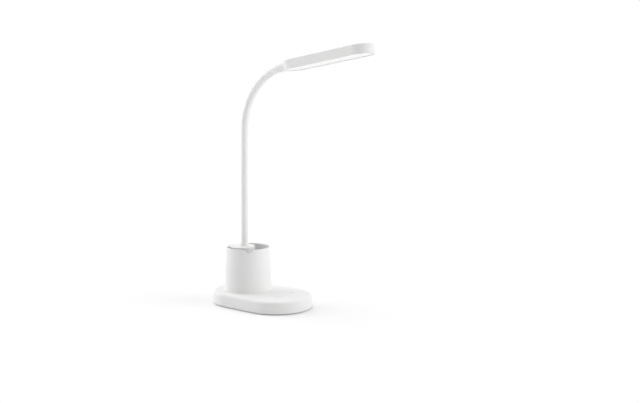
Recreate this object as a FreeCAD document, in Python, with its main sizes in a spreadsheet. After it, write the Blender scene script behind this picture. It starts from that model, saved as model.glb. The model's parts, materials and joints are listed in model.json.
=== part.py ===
import FreeCAD, Part
import math
import os

import Sketcher
from FreeCAD import Placement, Rotation, Vector

# A desk lamp with a pen cup on its base. The base is a flat plate with round ends. Near one end
# stands a conical cup, and inside the cup, against its wall, a tower that carries a gooseneck.
# The neck rises straight, bends over in one arc and ends in a slim lamp head with round ends.
#
# Frame: millimetres, Z up. The origin is on the desk, under the middle of the base. X runs along
# the base towards the end that the head reaches over, and the lamp is built about the plane y = 0.

SIZES = (
    ("base_length", 176.2, "base over its round ends, at its lower edge"),
    ("base_width", 112.2, "base across, at its lower edge"),
    ("base_top", 20.0, "desk to the top face of the base"),
    ("base_draft", 1.0, "how far the side leans in from its lower edge to the top"),
    ("base_wall", 2.2, "wall of the base shell"),
    ("base_round", 4.0, "rounding of the base's top edge"),
    ("skirt_gap", 1.6, "desk to the lower edge of the base shell"),
    ("floor_thick", 2.0, "floor plate of the base"),
    ("floor_play", 0.2, "play between the floor plate and the shell"),
    ("foot_radius", 6.0, "rubber foot"),
    ("foot_thick", 2.4, "rubber foot, recessed into the floor"),
    ("ballast_length", 130.0, "steel plate over its round ends"),
    ("ballast_width", 84.0, "steel plate across"),
    ("ballast_thick", 3.0, "steel plate"),
    ("post_radius", 3.4, "screw posts of the base shell"),
    ("pin_radius", 2.4, "posts that hold the control board"),
    ("board_thick", 1.6, "control board"),
    ("board_top", 12.0, "desk to the upper side of the control board"),
    ("pad_thick", 0.6, "adhesive pad under the battery"),
    ("battery_length", 50.0, "battery along X"),
    ("battery_width", 34.0, "battery along Y"),
    ("battery_thick", 6.0, "battery"),
    ("port_width", 9.0, "charging socket across"),
    ("port_thick", 3.3, "charging socket"),
    ("port_depth", 7.4, "charging socket, mouth to back"),
    ("cup_x", -31.0, "axis of the cup"),
    ("cup_rim_radius", 35.5, "cup at its rim"),
    ("cup_foot_radius", 38.7, "cup where it meets the base"),
    ("cup_tall", 69.8, "cup from the base to its rim"),
    ("cup_rim_wall", 1.3, "wall at the rim"),
    ("cup_foot_wall", 2.2, "wall at the foot"),
    ("cup_floor", 2.0, "floor of the cup"),
    ("cup_flange", 1.0, "flared foot of the cup"),
    ("notch_wide", 15.4, "notch in the rim, at its top"),
    ("notch_narrow", 7.0, "notch in the rim, at its bottom"),
    ("notch_deep", 5.2, "notch in the rim"),
    ("notch_turn", -45.0, "direction of the notch from X, degrees"),
    ("tower_x", -44.44, "axis of the tower"),
    ("tower_radius", 20.25, "tower"),
    ("tower_wall", 2.0, "wall of the tower"),
    ("cap_radius", 20.7, "lid of the tower"),
    ("cap_thick", 2.6, "lid of the tower"),
    ("cap_top", 89.5, "desk to the top of the lid"),
    ("neck_x", -38.9, "axis of the upright part of the neck"),
    ("neck_radius", 6.15, "neck"),
    ("neck_bore", 2.5, "channel for the leads in the neck"),
    ("neck_bend_z", 281.4, "desk to where the neck starts to bend"),
    ("neck_bend_radius", 102.0, "radius of the neck's bend"),
    ("seat_play", 0.15, "play between a link's ball and the next link's seat"),
    ("head_tilt", 8.1, "tilt of the head, degrees"),
    ("head_reach", 4.5, "end of the neck's bend to the head"),
    ("head_drop", 0.25, "head's middle plane below the neck's axis"),
    ("head_length", 165.5, "head over its round ends"),
    ("head_width", 43.0, "head across"),
    ("head_thick", 15.3, "head"),
    ("head_wall", 1.7, "wall of the head's lower rim"),
    ("head_ledge", 2.0, "ledge that the diffuser rests on"),
    ("head_roof", 2.2, "top wall of the head"),
    ("diffuser_thick", 1.4, "diffuser"),
    ("diffuser_recess", 1.2, "lower edge of the head to the diffuser"),
    ("ferrule_radius", 7.6, "sleeve between the neck and the head, at the head"),
    ("ferrule_mouth", 6.65, "sleeve at its mouth, round the neck"),
    ("ferrule_length", 15.0, "sleeve over the end of the neck's bend"),
)

doc = FreeCAD.newDocument("DeskLamp")
sheet = doc.addObject("Spreadsheet::Sheet", "Sizes")
for row, (alias, number, meaning) in enumerate(SIZES, start=1):
    sheet.set(f"A{row}", meaning)
    sheet.set(f"B{row}", str(number))
    sheet.setAlias(f"B{row}", alias)
doc.recompute()


class Size:
    """A length: its value now, and the expression that binds it to the sheet."""

    def __init__(self, text, value):
        self.text = text
        self.value = value

    def __add__(self, other):
        other = as_size(other)
        return Size(f"({self.text} + {other.text})", self.value + other.value)

    def __radd__(self, other):
        return as_size(other) + self

    def __sub__(self, other):
        other = as_size(other)
        return Size(f"({self.text} - {other.text})", self.value - other.value)

    def __rsub__(self, other):
        return as_size(other) - self

    def __mul__(self, factor):
        return Size(f"({self.text} * {factor})", self.value * factor)

    def __neg__(self):
        return Size(f"(0 - {self.text})", -self.value)


def as_size(number):
    """A plain number as a Size; a Size stays as it is."""
    if isinstance(number, Size):
        return number
    return Size(f"({number})", float(number))


def cell(alias):
    """The Size that the sheet keeps under this alias."""
    return Size(f"Sizes.{alias}", float(getattr(sheet, alias)))


def value(alias):
    """The plain number that the sheet keeps under this alias."""
    return cell(alias).value


def bind(target, name, length):
    """Bind one property to a Size or to an expression, so that it follows the sheet."""
    target.setExpression(name, length if isinstance(length, str) else as_size(length).text)


# ---------------------------------------------------------------------------
# Helpers: bodies, sketches and features
# ---------------------------------------------------------------------------

SUB_PARTS = []


def keep(sub_part, label):
    """Give a sub-part its name and list it for export."""
    sub_part.Label = label
    SUB_PARTS.append(sub_part)
    return sub_part


def new_body(label, x=0, y=0, z=0):
    """An empty body whose own origin stands at x, y, z."""
    body = doc.addObject("PartDesign::Body", label)
    for axis, length in zip("xyz", (x, y, z)):
        if isinstance(length, Size):
            bind(body, f"Placement.Base.{axis}", length)
    body.Placement = Placement(Vector(*(as_size(length).value for length in (x, y, z))), Rotation())
    return keep(body, label)


def new_sketch(body, height=0, role="XY_Plane", turn=0.0):
    """A sketch on one of the body's origin planes, raised along its normal and turned about Z."""
    sketch = body.newObject("Sketcher::SketchObject", "sketch")
    plane = next(feature for feature in body.Origin.OriginFeatures if feature.Role == role)
    sketch.AttachmentSupport = (plane, [""])
    sketch.MapMode = "FlatFace"
    upright = Vector(0, 0, 1) if role == "XY_Plane" else Vector(0, 1, 0)
    base = Vector(0, 0, as_size(height).value)
    sketch.AttachmentOffset = Placement(base, Rotation(upright, turn))
    if isinstance(height, Size):
        bind(sketch, "AttachmentOffset.Base.z", height)
    return sketch


def dimension(sketch, constraint, length):
    """Add a driving constraint and bind it to a Size."""
    index = sketch.addConstraint(constraint)
    bind(sketch, f"Constraints[{index}]", length)


def pin_point(sketch, curve, point, x, y):
    """Hold one point of a curve at x, y of the sketch."""
    for kind, length in (("DistanceX", as_size(x)), ("DistanceY", as_size(y))):
        dimension(sketch, Sketcher.Constraint(kind, curve, point, length.value), length)


def draw_polygon(sketch, points):
    """A closed outline of straight sides through the points."""
    corners = [Vector(as_size(x).value, as_size(y).value, 0) for x, y in points]
    sides = [
        sketch.addGeometry(Part.LineSegment(start, end), False)
        for start, end in zip(corners, corners[1:] + corners[:1])
    ]
    for side, following in zip(sides, sides[1:] + sides[:1]):
        sketch.addConstraint(Sketcher.Constraint("Coincident", side, 2, following, 1))
    for side, (x, y) in zip(sides, points):
        pin_point(sketch, side, 1, x, y)


def draw_box(sketch, x_low, x_high, y_low, y_high):
    """A rectangle between two opposite corners."""
    draw_polygon(sketch, ((x_low, y_low), (x_high, y_low), (x_high, y_high), (x_low, y_high)))


def draw_circle(sketch, radius, x=0, y=0):
    """A circle of this radius about x, y."""
    radius = as_size(radius)
    centre = Vector(as_size(x).value, as_size(y).value, 0)
    circle = sketch.addGeometry(Part.Circle(centre, Vector(0, 0, 1), radius.value), False)
    pin_point(sketch, circle, 3, x, y)
    dimension(sketch, Sketcher.Constraint("Radius", circle, radius.value), radius)


def draw_slot(sketch, length, width, x=0, y=0):
    """A slot outline: two straight sides joined by half circles, with its middle at x, y."""
    length, width, x, y = (as_size(number) for number in (length, width, x, y))
    radius = width * 0.5
    half = (length - width) * 0.5
    right_x, left_x, low, high = x + half, x - half, y - radius, y + radius
    normal = Vector(0, 0, 1)
    quarter = math.pi / 2
    right_centre = Vector(right_x.value, y.value, 0)
    left_centre = Vector(left_x.value, y.value, 0)
    curves = (
        Part.LineSegment(Vector(left_x.value, high.value, 0), Vector(right_x.value, high.value, 0)),
        Part.ArcOfCircle(Part.Circle(right_centre, normal, radius.value), -quarter, quarter),
        Part.LineSegment(Vector(right_x.value, low.value, 0), Vector(left_x.value, low.value, 0)),
        Part.ArcOfCircle(Part.Circle(left_centre, normal, radius.value), quarter, 3 * quarter),
    )
    top, right, bottom, left = (sketch.addGeometry(curve, False) for curve in curves)
    for first, first_end, second, second_end in (
        (top, 2, right, 2), (right, 1, bottom, 1), (bottom, 2, left, 2), (left, 1, top, 1),
    ):
        sketch.addConstraint(Sketcher.Constraint("Tangent", first, first_end, second, second_end))
    sketch.addConstraint(Sketcher.Constraint("Equal", right, left))
    sketch.addConstraint(Sketcher.Constraint("Horizontal", top))
    pin_point(sketch, right, 3, right_x, y)
    dimension(sketch, Sketcher.Constraint("DistanceX", left, 3, right, 3, 2 * half.value), half * 2)
    dimension(sketch, Sketcher.Constraint("Radius", right, radius.value), radius)


def add_pad(body, sketch, length):
    """Material from the sketch, along its normal."""
    pad = body.newObject("PartDesign::Pad", "pad")
    pad.Profile = sketch
    bind(pad, "Length", length)
    doc.recompute()
    return pad


def cut_pocket(body, sketch, length, upwards=False):
    """Cut the sketch out of the body, against the sketch's normal or along it."""
    before = body.Shape.Volume
    pocket = body.newObject("PartDesign::Pocket", "pocket")
    pocket.Profile = sketch
    pocket.Reversed = upwards
    bind(pocket, "Length", length)
    doc.recompute()
    if not body.Shape.Volume < before:
        raise RuntimeError(f"{body.Label}: a pocket cuts nothing")
    return pocket


def revolve(body, sketch):
    """Turn an upright profile once round the body's Z axis."""
    turned = body.newObject("PartDesign::Revolution", "turned")
    turned.Profile = sketch
    turned.ReferenceAxis = (sketch, ["V_Axis"])
    turned.Angle = 360
    doc.recompute()
    return turned


def lean_in(body, pad, angle):
    """Lean the sides of an upright pad inwards, by an angle from its lower edge upwards."""
    sides, lower = [], None
    for number, face in enumerate(pad.Shape.Faces, start=1):
        box = face.BoundBox
        if box.ZLength > 0.01:
            sides.append(f"Face{number}")
        elif lower is None or box.ZMin < lower[0]:
            lower = (box.ZMin, f"Face{number}")
    draft = body.newObject("PartDesign::Draft", "draft")
    draft.Base = (pad, sides)
    draft.NeutralPlane = (pad, [lower[1]])
    bind(draft, "Angle", angle)
    doc.recompute()
    if not draft.Shape.Volume < pad.Shape.Volume:
        draft.Reversed = not draft.Reversed
        doc.recompute()
    return draft


def round_edges(body, radius, picked):
    """Round those edges of the body that the test picks."""
    tip = body.Tip
    names = [f"Edge{number}" for number, edge in enumerate(tip.Shape.Edges, start=1) if picked(edge)]
    if not names:
        raise RuntimeError(f"{body.Label}: no edge to round")
    fillet = body.newObject("PartDesign::Fillet", "rounding")
    fillet.Base = (tip, names)
    bind(fillet, "Radius", radius)
    doc.recompute()
    return fillet


def lies_at(height, reach=None, tolerance=0.01):
    """A test for edges that lie flat at this height, and reach out this far from the Z axis."""
    def picked(edge):
        box = edge.BoundBox
        flat = abs(box.ZMin - height) < tolerance and abs(box.ZMax - height) < tolerance
        if reach is None or not flat:
            return flat
        start = edge.Vertexes[0].Point
        return abs(math.hypot(start.x, start.y) - reach) < tolerance
    return picked


def screw(head_radius, head_tall, shank_radius, shank_long):
    """A pan-head screw with its seat at the origin, the head below and the shank above."""
    head = Part.makeCylinder(head_radius, head_tall, Vector(0, 0, -head_tall))
    crown = [edge for edge in head.Edges if abs(edge.BoundBox.ZMax + head_tall) < 0.01]
    head = head.makeFillet(head_tall * 0.4, crown)
    slot = Part.makeBox(head_radius * 1.2, head_radius * 0.25, head_tall * 0.5)
    slot.translate(Vector(-head_radius * 0.6, -head_radius * 0.125, -head_tall))
    cross = slot.copy()
    cross.rotate(Vector(0, 0, 0), Vector(0, 0, 1), 90)
    shank = Part.makeCylinder(shank_radius, shank_long)
    return head.cut(slot).cut(cross).fuse(shank).removeSplitter()


def add_group(label, shapes, placement=None):
    """One node that holds several separate solids."""
    feature = doc.addObject("Part::Feature", label)
    feature.Shape = Part.makeCompound(shapes)
    if placement is not None:
        feature.Placement = placement
    return keep(feature, label)


def moved(shape, x, y, z):
    """A copy of the shape, shifted."""
    copy = shape.copy()
    copy.translate(Vector(x, y, z))
    return copy


def lead(radius, wire):
    """A round wire swept along a path of straight runs and tangent arcs."""
    start = wire.Edges[0]
    circle = Part.Circle(start.valueAt(start.FirstParameter), start.tangentAt(start.FirstParameter), radius)
    section = Part.Wire(circle.toShape())
    return wire.makePipeShell([section], True, False)


# ---------------------------------------------------------------------------
# Base: shell, floor, feet, ballast, electronics
# ---------------------------------------------------------------------------

ROOF_Z = cell("base_top") - cell("base_wall")
BASE_INSET = cell("base_wall") + cell("base_draft")
FLOOR_TOP = cell("skirt_gap") + cell("floor_thick")
BALLAST_TOP = FLOOR_TOP + cell("ballast_thick")
FLOOR_POSTS = ((60, 38), (60, -38), (-60, 38), (-60, -38), (0, 46), (0, -46))
BOARD_POSTS = ((26, -18), (58, -18), (26, 28), (58, 28))
CUP_SCREW_CIRCLE = 12.0
CUP_SCREW_TURNS = (60, 180, 300)
TOUCH_KEYS = ((41.5, -11.0), (36.5, 23.5))
TOUCH_RADIUS = 4.0
LEAD_HOLE_RADIUS = 6.0
LEAD_HOLE_SHIFT = 2.0
PORT_X = 22.0
PILOT_RADIUS = 1.1
SHANK_RADIUS = 1.05
CLEAR_RADIUS = 1.7


def cup_screw_spots():
    """Where the three screws of the cup stand, in plan."""
    for turn in CUP_SCREW_TURNS:
        angle = math.radians(turn)
        x = cell("tower_x") + CUP_SCREW_CIRCLE * math.cos(angle)
        yield x, as_size(CUP_SCREW_CIRCLE * math.sin(angle))


def build_base_shell():
    """The moulded top of the base: a round-ended box, open below, with posts under its roof."""
    body = new_body("base_shell")
    outline = new_sketch(body, cell("skirt_gap"))
    draw_slot(outline, cell("base_length"), cell("base_width"))
    block = add_pad(body, outline, cell("base_top") - cell("skirt_gap"))
    lean_in(body, block, "atan(Sizes.base_draft / (Sizes.base_top - Sizes.skirt_gap))")
    round_edges(body, cell("base_round"), lies_at(value("base_top")))

    inside = new_sketch(body, ROOF_Z)
    draw_slot(inside, cell("base_length") - BASE_INSET * 2, cell("base_width") - BASE_INSET * 2)
    cut_pocket(body, inside, ROOF_Z)
    round_edges(body, cell("base_round") - cell("base_wall"), lies_at(ROOF_Z.value))

    posts = new_sketch(body, FLOOR_TOP)
    for x, y in FLOOR_POSTS:
        draw_circle(posts, cell("post_radius"), x, y)
    add_pad(body, posts, ROOF_Z - FLOOR_TOP)
    board_posts = new_sketch(body, cell("board_top"))
    for x, y in BOARD_POSTS:
        draw_circle(board_posts, cell("pin_radius"), x, y)
    add_pad(body, board_posts, ROOF_Z - cell("board_top"))

    pilots = new_sketch(body, FLOOR_TOP)
    for x, y in FLOOR_POSTS:
        draw_circle(pilots, PILOT_RADIUS, x, y)
    cut_pocket(body, pilots, 10, upwards=True)
    board_pilots = new_sketch(body, cell("board_top"))
    for x, y in BOARD_POSTS:
        draw_circle(board_pilots, PILOT_RADIUS, x, y)
    cut_pocket(body, board_pilots, 4.5, upwards=True)

    through = new_sketch(body, cell("base_top"))
    draw_circle(through, LEAD_HOLE_RADIUS, cell("neck_x") + LEAD_HOLE_SHIFT, 0)
    for x, y in cup_screw_spots():
        draw_circle(through, CLEAR_RADIUS, x, y)
    cut_pocket(body, through, cell("base_wall"))
    cut_port(body)
    return body


def cut_port(body):
    """The opening of the charging socket in the far long side, with a shallow recess for the plug."""
    port_z = cell("board_top") + cell("port_thick") * 0.5
    half_width = cell("base_width") * 0.5
    opening = new_sketch(body, -half_width, role="XZ_Plane")
    draw_slot(opening, cell("port_width") + 0.7, cell("port_thick") + 0.7, PORT_X, port_z)
    cut_pocket(body, opening, BASE_INSET, upwards=True)
    recess = new_sketch(body, -half_width, role="XZ_Plane")
    draw_slot(recess, cell("port_width") + 3.6, cell("port_thick") + 3.2, PORT_X, port_z)
    cut_pocket(body, recess, cell("base_draft") + 0.6, upwards=True)


def build_base_floor():
    """The plate that closes the base from below, with recesses for the feet and screw holes."""
    body = new_body("base_floor", z=cell("skirt_gap"))
    outline = new_sketch(body)
    around = (BASE_INSET + cell("floor_play")) * 2
    draw_slot(outline, cell("base_length") - around, cell("base_width") - around)
    add_pad(body, outline, cell("floor_thick"))
    holes = new_sketch(body)
    for x, y in FLOOR_POSTS:
        draw_circle(holes, CLEAR_RADIUS, x, y)
    cut_pocket(body, holes, cell("floor_thick"), upwards=True)
    sinks = new_sketch(body)
    for x, y in FLOOR_POSTS:
        draw_circle(sinks, 3.0, x, y)
    cut_pocket(body, sinks, 1.0, upwards=True)
    recesses = new_sketch(body)
    for x, y in foot_spots():
        draw_circle(recesses, cell("foot_radius") + 0.1, x, y)
    cut_pocket(body, recesses, cell("foot_thick") - cell("skirt_gap"), upwards=True)
    return body


def foot_spots():
    """Where the rubber feet stand: two under each end and one in the middle."""
    return ((62, 20), (62, -20), (-62, 20), (-62, -20), (0, 0))


def build_feet():
    """Rubber discs with a rounded lower edge."""
    body = new_body("foot_pads")
    discs = new_sketch(body)
    for x, y in foot_spots():
        draw_circle(discs, cell("foot_radius"), x, y)
    add_pad(body, discs, cell("foot_thick"))
    round_edges(body, 0.4, lies_at(0.0))
    return body


def build_ballast():
    """A steel plate on the floor that keeps the lamp standing when its neck is bent out."""
    body = new_body("ballast_plate", z=FLOOR_TOP)
    outline = new_sketch(body)
    draw_slot(outline, cell("ballast_length"), cell("ballast_width"))
    add_pad(body, outline, cell("ballast_thick"))
    round_edges(body, 0.5, lies_at(value("ballast_thick")))
    return body


def build_battery():
    """A flat lithium cell, lying on an adhesive pad on the ballast plate."""
    battery_x = -7.0
    half_long, half_wide = cell("battery_length") * 0.5, cell("battery_width") * 0.5
    pad_body = new_body("battery_pad", x=battery_x, z=BALLAST_TOP)
    pad_outline = new_sketch(pad_body)
    draw_box(pad_outline, 4 - half_long, half_long - 4, 4 - half_wide, half_wide - 4)
    add_pad(pad_body, pad_outline, cell("pad_thick"))

    body = new_body("battery_cell", x=battery_x, z=BALLAST_TOP + cell("pad_thick"))
    outline = new_sketch(body)
    draw_box(outline, -half_long, half_long, -half_wide, half_wide)
    add_pad(body, outline, cell("battery_thick"))
    along = value("battery_length") - 0.01
    round_edges(body, 2.0, lambda edge: edge.BoundBox.XLength > along)

    tab_x = battery_x + value("battery_length") / 2
    wire = Part.makeCylinder(0.6, 8.0, Vector(0, 0, 0), Vector(1, 0, 0))
    under_board = value("board_top") - value("board_thick") - 0.6
    add_group("battery_leads", [moved(wire, tab_x, y, under_board) for y in (-6.0, 6.0)])


def build_board():
    """The control board under the touch keys, its parts, and the charging socket at its edge."""
    body = new_body("control_board", z=cell("board_top") - cell("board_thick"))
    outline = new_sketch(body)
    edge_y = cell("base_width") * 0.5 - BASE_INSET - 1.8
    draw_polygon(outline, (
        (22, -22), (62, -22), (62, 32), (32, 32), (32, edge_y), (14.5, edge_y), (14.5, 32), (22, 32),
    ))
    add_pad(body, outline, cell("board_thick"))
    holes = new_sketch(body)
    for x, y in BOARD_POSTS:
        draw_circle(holes, 1.3, x, y)
    cut_pocket(body, holes, cell("board_thick"), upwards=True)

    top = value("board_top")
    controller = Part.makeBox(7, 7, 1.0, Vector(46, 2, top))
    coil = Part.makeCylinder(3.6, 3.2, Vector(34, 6, top))
    charger = Part.makeBox(4, 5, 1.2, Vector(26, 36, top))
    memory = Part.makeBox(5, 4, 1.2, Vector(50, -14, top))
    plug_housing = Part.makeBox(6, 8, 4.8, Vector(22.5, -4, top))
    add_group("board_parts", [controller, coil, charger, memory, plug_housing])

    board_screw = screw(1.9, 1.3, SHANK_RADIUS, value("board_thick") + 4.0)
    under = top - value("board_thick")
    add_group("board_screws", [moved(board_screw, x, y, under) for x, y in BOARD_POSTS])


def build_port():
    """The charging socket: a thin metal shell with round sides and a tongue inside."""
    mouth_y = cell("base_width") * 0.5 - BASE_INSET
    body = new_body("usb_c_socket", x=PORT_X, y=mouth_y, z=cell("board_top") + cell("port_thick") * 0.5)
    outer = new_sketch(body, role="XZ_Plane")
    draw_slot(outer, cell("port_width"), cell("port_thick"))
    add_pad(body, outer, cell("port_depth"))
    inner = new_sketch(body, role="XZ_Plane")
    draw_slot(inner, cell("port_width") - 0.7, cell("port_thick") - 0.7)
    cut_pocket(body, inner, cell("port_depth") - 1.0, upwards=True)
    tongue = new_sketch(body, 1.2, role="XZ_Plane")
    draw_box(tongue, -3.3, 3.3, -0.35, 0.35)
    add_pad(body, tongue, cell("port_depth") - 1.6)
    return body


def build_base_fasteners():
    """The screws of the floor and of the cup, and the foams under the touch keys."""
    floor_screw = screw(2.8, 1.0, SHANK_RADIUS, 9.5)
    seat = value("skirt_gap") + 1.0
    add_group("floor_screws", [moved(floor_screw, x, y, seat) for x, y in FLOOR_POSTS])
    cup_screw = screw(2.9, 1.8, SHANK_RADIUS + 0.4, 13.0)
    spots = [(x.value, y.value) for x, y in cup_screw_spots()]
    add_group("cup_screws", [moved(cup_screw, x, y, ROOF_Z.value) for x, y in spots])
    foam = Part.makeCylinder(TOUCH_RADIUS, ROOF_Z.value - value("board_top"))
    add_group("touch_foams", [moved(foam, x, y, value("board_top")) for x, y in TOUCH_KEYS])


# ---------------------------------------------------------------------------
# Cup and tower
# ---------------------------------------------------------------------------

TOWER_FLOOR = 3.0
SPIGOT_DEEP = 4.0
STUD_RADIUS = 5.0
WASHER_THICK = 1.2
NUT_THICK = 5.0
STUD_IN_NECK = 12.0
CAP_SEAT = cell("cap_top") - cell("cap_thick")
CUP_INNER_Z = cell("base_top") + cell("cup_floor")
WEB_BELOW_RIM = 0.5
WEB_WALL_TURNS = (12, 25, 38)
WEB_TOWER_TURNS = (57, 20)


def build_cup():
    """The pen cup: a cone that narrows upwards, with a flared foot and a notch in its rim."""
    body = new_body("pen_cup", x=cell("cup_x"), z=cell("base_top"))
    profile = new_sketch(body, role="XZ_Plane")
    foot, rim = cell("cup_foot_radius"), cell("cup_rim_radius")
    flange_tall = 0.5
    draw_polygon(profile, (
        (0, 0),
        (foot + cell("cup_flange"), 0),
        (foot + cell("cup_flange"), flange_tall),
        (foot, flange_tall),
        (rim, cell("cup_tall")),
        (rim - cell("cup_rim_wall"), cell("cup_tall")),
        (foot - cell("cup_foot_wall"), cell("cup_floor")),
        (0, cell("cup_floor")),
    ))
    revolve(body, profile)
    round_edges(body, 0.9, lies_at(flange_tall, value("cup_foot_radius")))
    round_edges(body, 2.5, lies_at(value("cup_floor"), value("cup_foot_radius") - value("cup_foot_wall")))
    round_edges(body, 0.7, lies_at(value("cup_tall"), value("cup_rim_radius")))
    round_edges(body, 0.4, lies_at(value("cup_tall"), value("cup_rim_radius") - value("cup_rim_wall")))

    # An upright sketch that is not turned looks towards -Y, a quarter turn back from X.
    notch = new_sketch(body, role="XZ_Plane", turn=value("notch_turn") + 90)
    bind(notch, "AttachmentOffset.Rotation.Angle", cell("notch_turn") + 90)
    low = cell("cup_tall") - cell("notch_deep")
    high = cell("cup_tall") + 1
    draw_polygon(notch, (
        (cell("notch_narrow") * -0.5, low),
        (cell("notch_narrow") * 0.5, low),
        (cell("notch_wide") * 0.5, high),
        (cell("notch_wide") * -0.5, high),
    ))
    cut_pocket(body, notch, cell("cup_foot_radius"), upwards=True)
    round_edges(body, 1.2, is_notch_corner)

    holes = new_sketch(body)
    draw_circle(holes, LEAD_HOLE_RADIUS, cell("neck_x") - cell("cup_x") + LEAD_HOLE_SHIFT, 0)
    for x, y in cup_screw_spots():
        draw_circle(holes, CLEAR_RADIUS, x - cell("cup_x"), y)
    cut_pocket(body, holes, cell("cup_floor"), upwards=True)
    add_webs(body)
    return body


def add_webs(body):
    """Two webs that fill the narrow ends of the gap between the cup's wall and the tower."""
    for side in (-1, 1):
        low = new_sketch(body, cell("cup_floor") * 0.5)
        foot_middle = cell("cup_foot_radius") - cell("cup_foot_wall") * 0.5
        draw_polygon(low, web_outline(foot_middle, side))
        high = new_sketch(body, cell("cup_tall") - WEB_BELOW_RIM)
        rim_middle = cell("cup_rim_radius") - cell("cup_rim_wall") * 0.5
        draw_polygon(high, web_outline(rim_middle, side))
        loft = body.newObject("PartDesign::AdditiveLoft", "web")
        loft.Profile = low
        loft.Sections = [high]
        doc.recompute()
    tower_way = new_sketch(body, cell("cup_floor"))
    draw_circle(tower_way, cell("cap_radius") + 0.05, cell("tower_x") - cell("cup_x"), 0)
    cut_pocket(body, tower_way, cell("cup_tall"), upwards=True)


def web_outline(wall_radius, side):
    """A web in plan: three points in the middle of the cup's wall, and two inside the tower's way."""
    points = []
    for turn in WEB_WALL_TURNS:
        angle = math.radians(turn)
        points.append((wall_radius * -math.cos(angle), wall_radius * (side * math.sin(angle))))
    reach = cell("tower_radius")
    for turn in WEB_TOWER_TURNS:
        angle = math.radians(turn)
        x = cell("tower_x") - cell("cup_x") - reach * math.cos(angle)
        points.append((x, reach * (side * math.sin(angle))))
    return points


def is_notch_corner(edge):
    """True for the two straight edges along the bottom corners of the notch."""
    box = edge.BoundBox
    low = value("cup_tall") - value("notch_deep")
    flat = abs(box.ZMin - low) < 0.01 and abs(box.ZMax - low) < 0.01
    return flat and isinstance(edge.Curve, Part.Line)


def build_tower():
    """The tower in the cup: a tube with a floor, and three posts for the screws from below."""
    body = new_body("tower", x=cell("tower_x"), z=CUP_INNER_Z)
    tall = CAP_SEAT - CUP_INNER_Z
    outer = new_sketch(body)
    draw_circle(outer, cell("tower_radius"))
    add_pad(body, outer, tall)
    inner = new_sketch(body, TOWER_FLOOR)
    draw_circle(inner, cell("tower_radius") - cell("tower_wall"))
    cut_pocket(body, inner, tall, upwards=True)
    spots = [(x - cell("tower_x"), y) for x, y in cup_screw_spots()]
    posts = new_sketch(body, TOWER_FLOOR - 1.0)
    for x, y in spots:
        draw_circle(posts, 3.2, x, y)
    add_pad(body, posts, 9)
    pilots = new_sketch(body)
    for x, y in spots:
        draw_circle(pilots, PILOT_RADIUS + 0.4, x, y)
    cut_pocket(body, pilots, 10, upwards=True)
    lead_way = new_sketch(body)
    draw_circle(lead_way, 4.5, cell("neck_x") - cell("tower_x") + 1.0, 0)
    cut_pocket(body, lead_way, TOWER_FLOOR, upwards=True)
    return body


def build_cap():
    """The lid of the tower: a disc with a spigot below and an off-centre hole for the neck's stud."""
    body = new_body("tower_cap", x=cell("tower_x"), z=CAP_SEAT)
    disc = new_sketch(body)
    draw_circle(disc, cell("cap_radius"))
    add_pad(body, disc, cell("cap_thick"))
    round_edges(body, 0.7, lies_at(value("cap_thick")))
    inner_radius = cell("tower_radius") - cell("tower_wall")
    spigot = new_sketch(body, -SPIGOT_DEEP)
    draw_circle(spigot, inner_radius - 0.1)
    draw_circle(spigot, inner_radius - 1.8)
    add_pad(body, spigot, SPIGOT_DEEP)
    hole = new_sketch(body)
    draw_circle(hole, STUD_RADIUS + 0.05, cell("neck_x") - cell("tower_x"), 0)
    cut_pocket(body, hole, cell("cap_thick"), upwards=True)
    return body


def build_neck_mount():
    """What holds the neck: a collar on the lid, and a hollow stud with a washer and a nut below it."""
    collar = new_body("neck_collar", x=cell("neck_x"), z=cell("cap_top"))
    profile = new_sketch(collar, role="XZ_Plane")
    inner = cell("neck_radius") + 0.05
    sleeve = cell("neck_radius") + 0.5
    draw_polygon(profile, (
        (inner, 0), (cell("neck_radius") + 2.6, 0), (cell("neck_radius") + 2.6, 0.6),
        (sleeve, 0.6), (sleeve, 4.2), (inner, 4.2),
    ))
    revolve(collar, profile)
    round_edges(collar, 1.9, lies_at(0.6, value("neck_radius") + 0.5))

    under = CAP_SEAT.value
    nut_top = under - WASHER_THICK
    stud_low = nut_top - NUT_THICK - 4.0
    stud = doc.addObject("Part::Cut", "neck_stud")
    stud.Base = tube_core(STUD_RADIUS, stud_low, value("cap_top") + STUD_IN_NECK)
    stud.Tool = tube_core(3.0, stud_low, value("cap_top") + STUD_IN_NECK)
    keep(stud, "neck_stud")

    washer = new_body("neck_washer", x=cell("neck_x"), z=nut_top)
    ring = new_sketch(washer)
    draw_circle(ring, 9.0)
    draw_circle(ring, STUD_RADIUS + 0.2)
    add_pad(washer, ring, WASHER_THICK)
    nut = new_body("neck_nut", x=cell("neck_x"), z=nut_top - NUT_THICK)
    draw_nut(nut, 15.0, STUD_RADIUS + 0.02, NUT_THICK)


def tube_core(radius, low, high):
    """An upright cylinder on the neck's axis."""
    cylinder = doc.addObject("Part::Cylinder", "core")
    cylinder.Radius = radius
    cylinder.Height = high - low
    cylinder.Placement = Placement(Vector(value("neck_x"), 0, low), Rotation())
    return cylinder


def draw_nut(body, across_flats, hole_radius, thick):
    """A hexagon nut with its hole, standing on the body's origin."""
    corner = across_flats / math.sqrt(3)
    turns = [math.radians(60 * side) for side in range(6)]
    outline = new_sketch(body)
    draw_polygon(outline, [(corner * math.cos(turn), corner * math.sin(turn)) for turn in turns])
    add_pad(body, outline, thick)
    hole = new_sketch(body)
    draw_circle(hole, hole_radius)
    cut_pocket(body, hole, thick, upwards=True)
    return body


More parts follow.
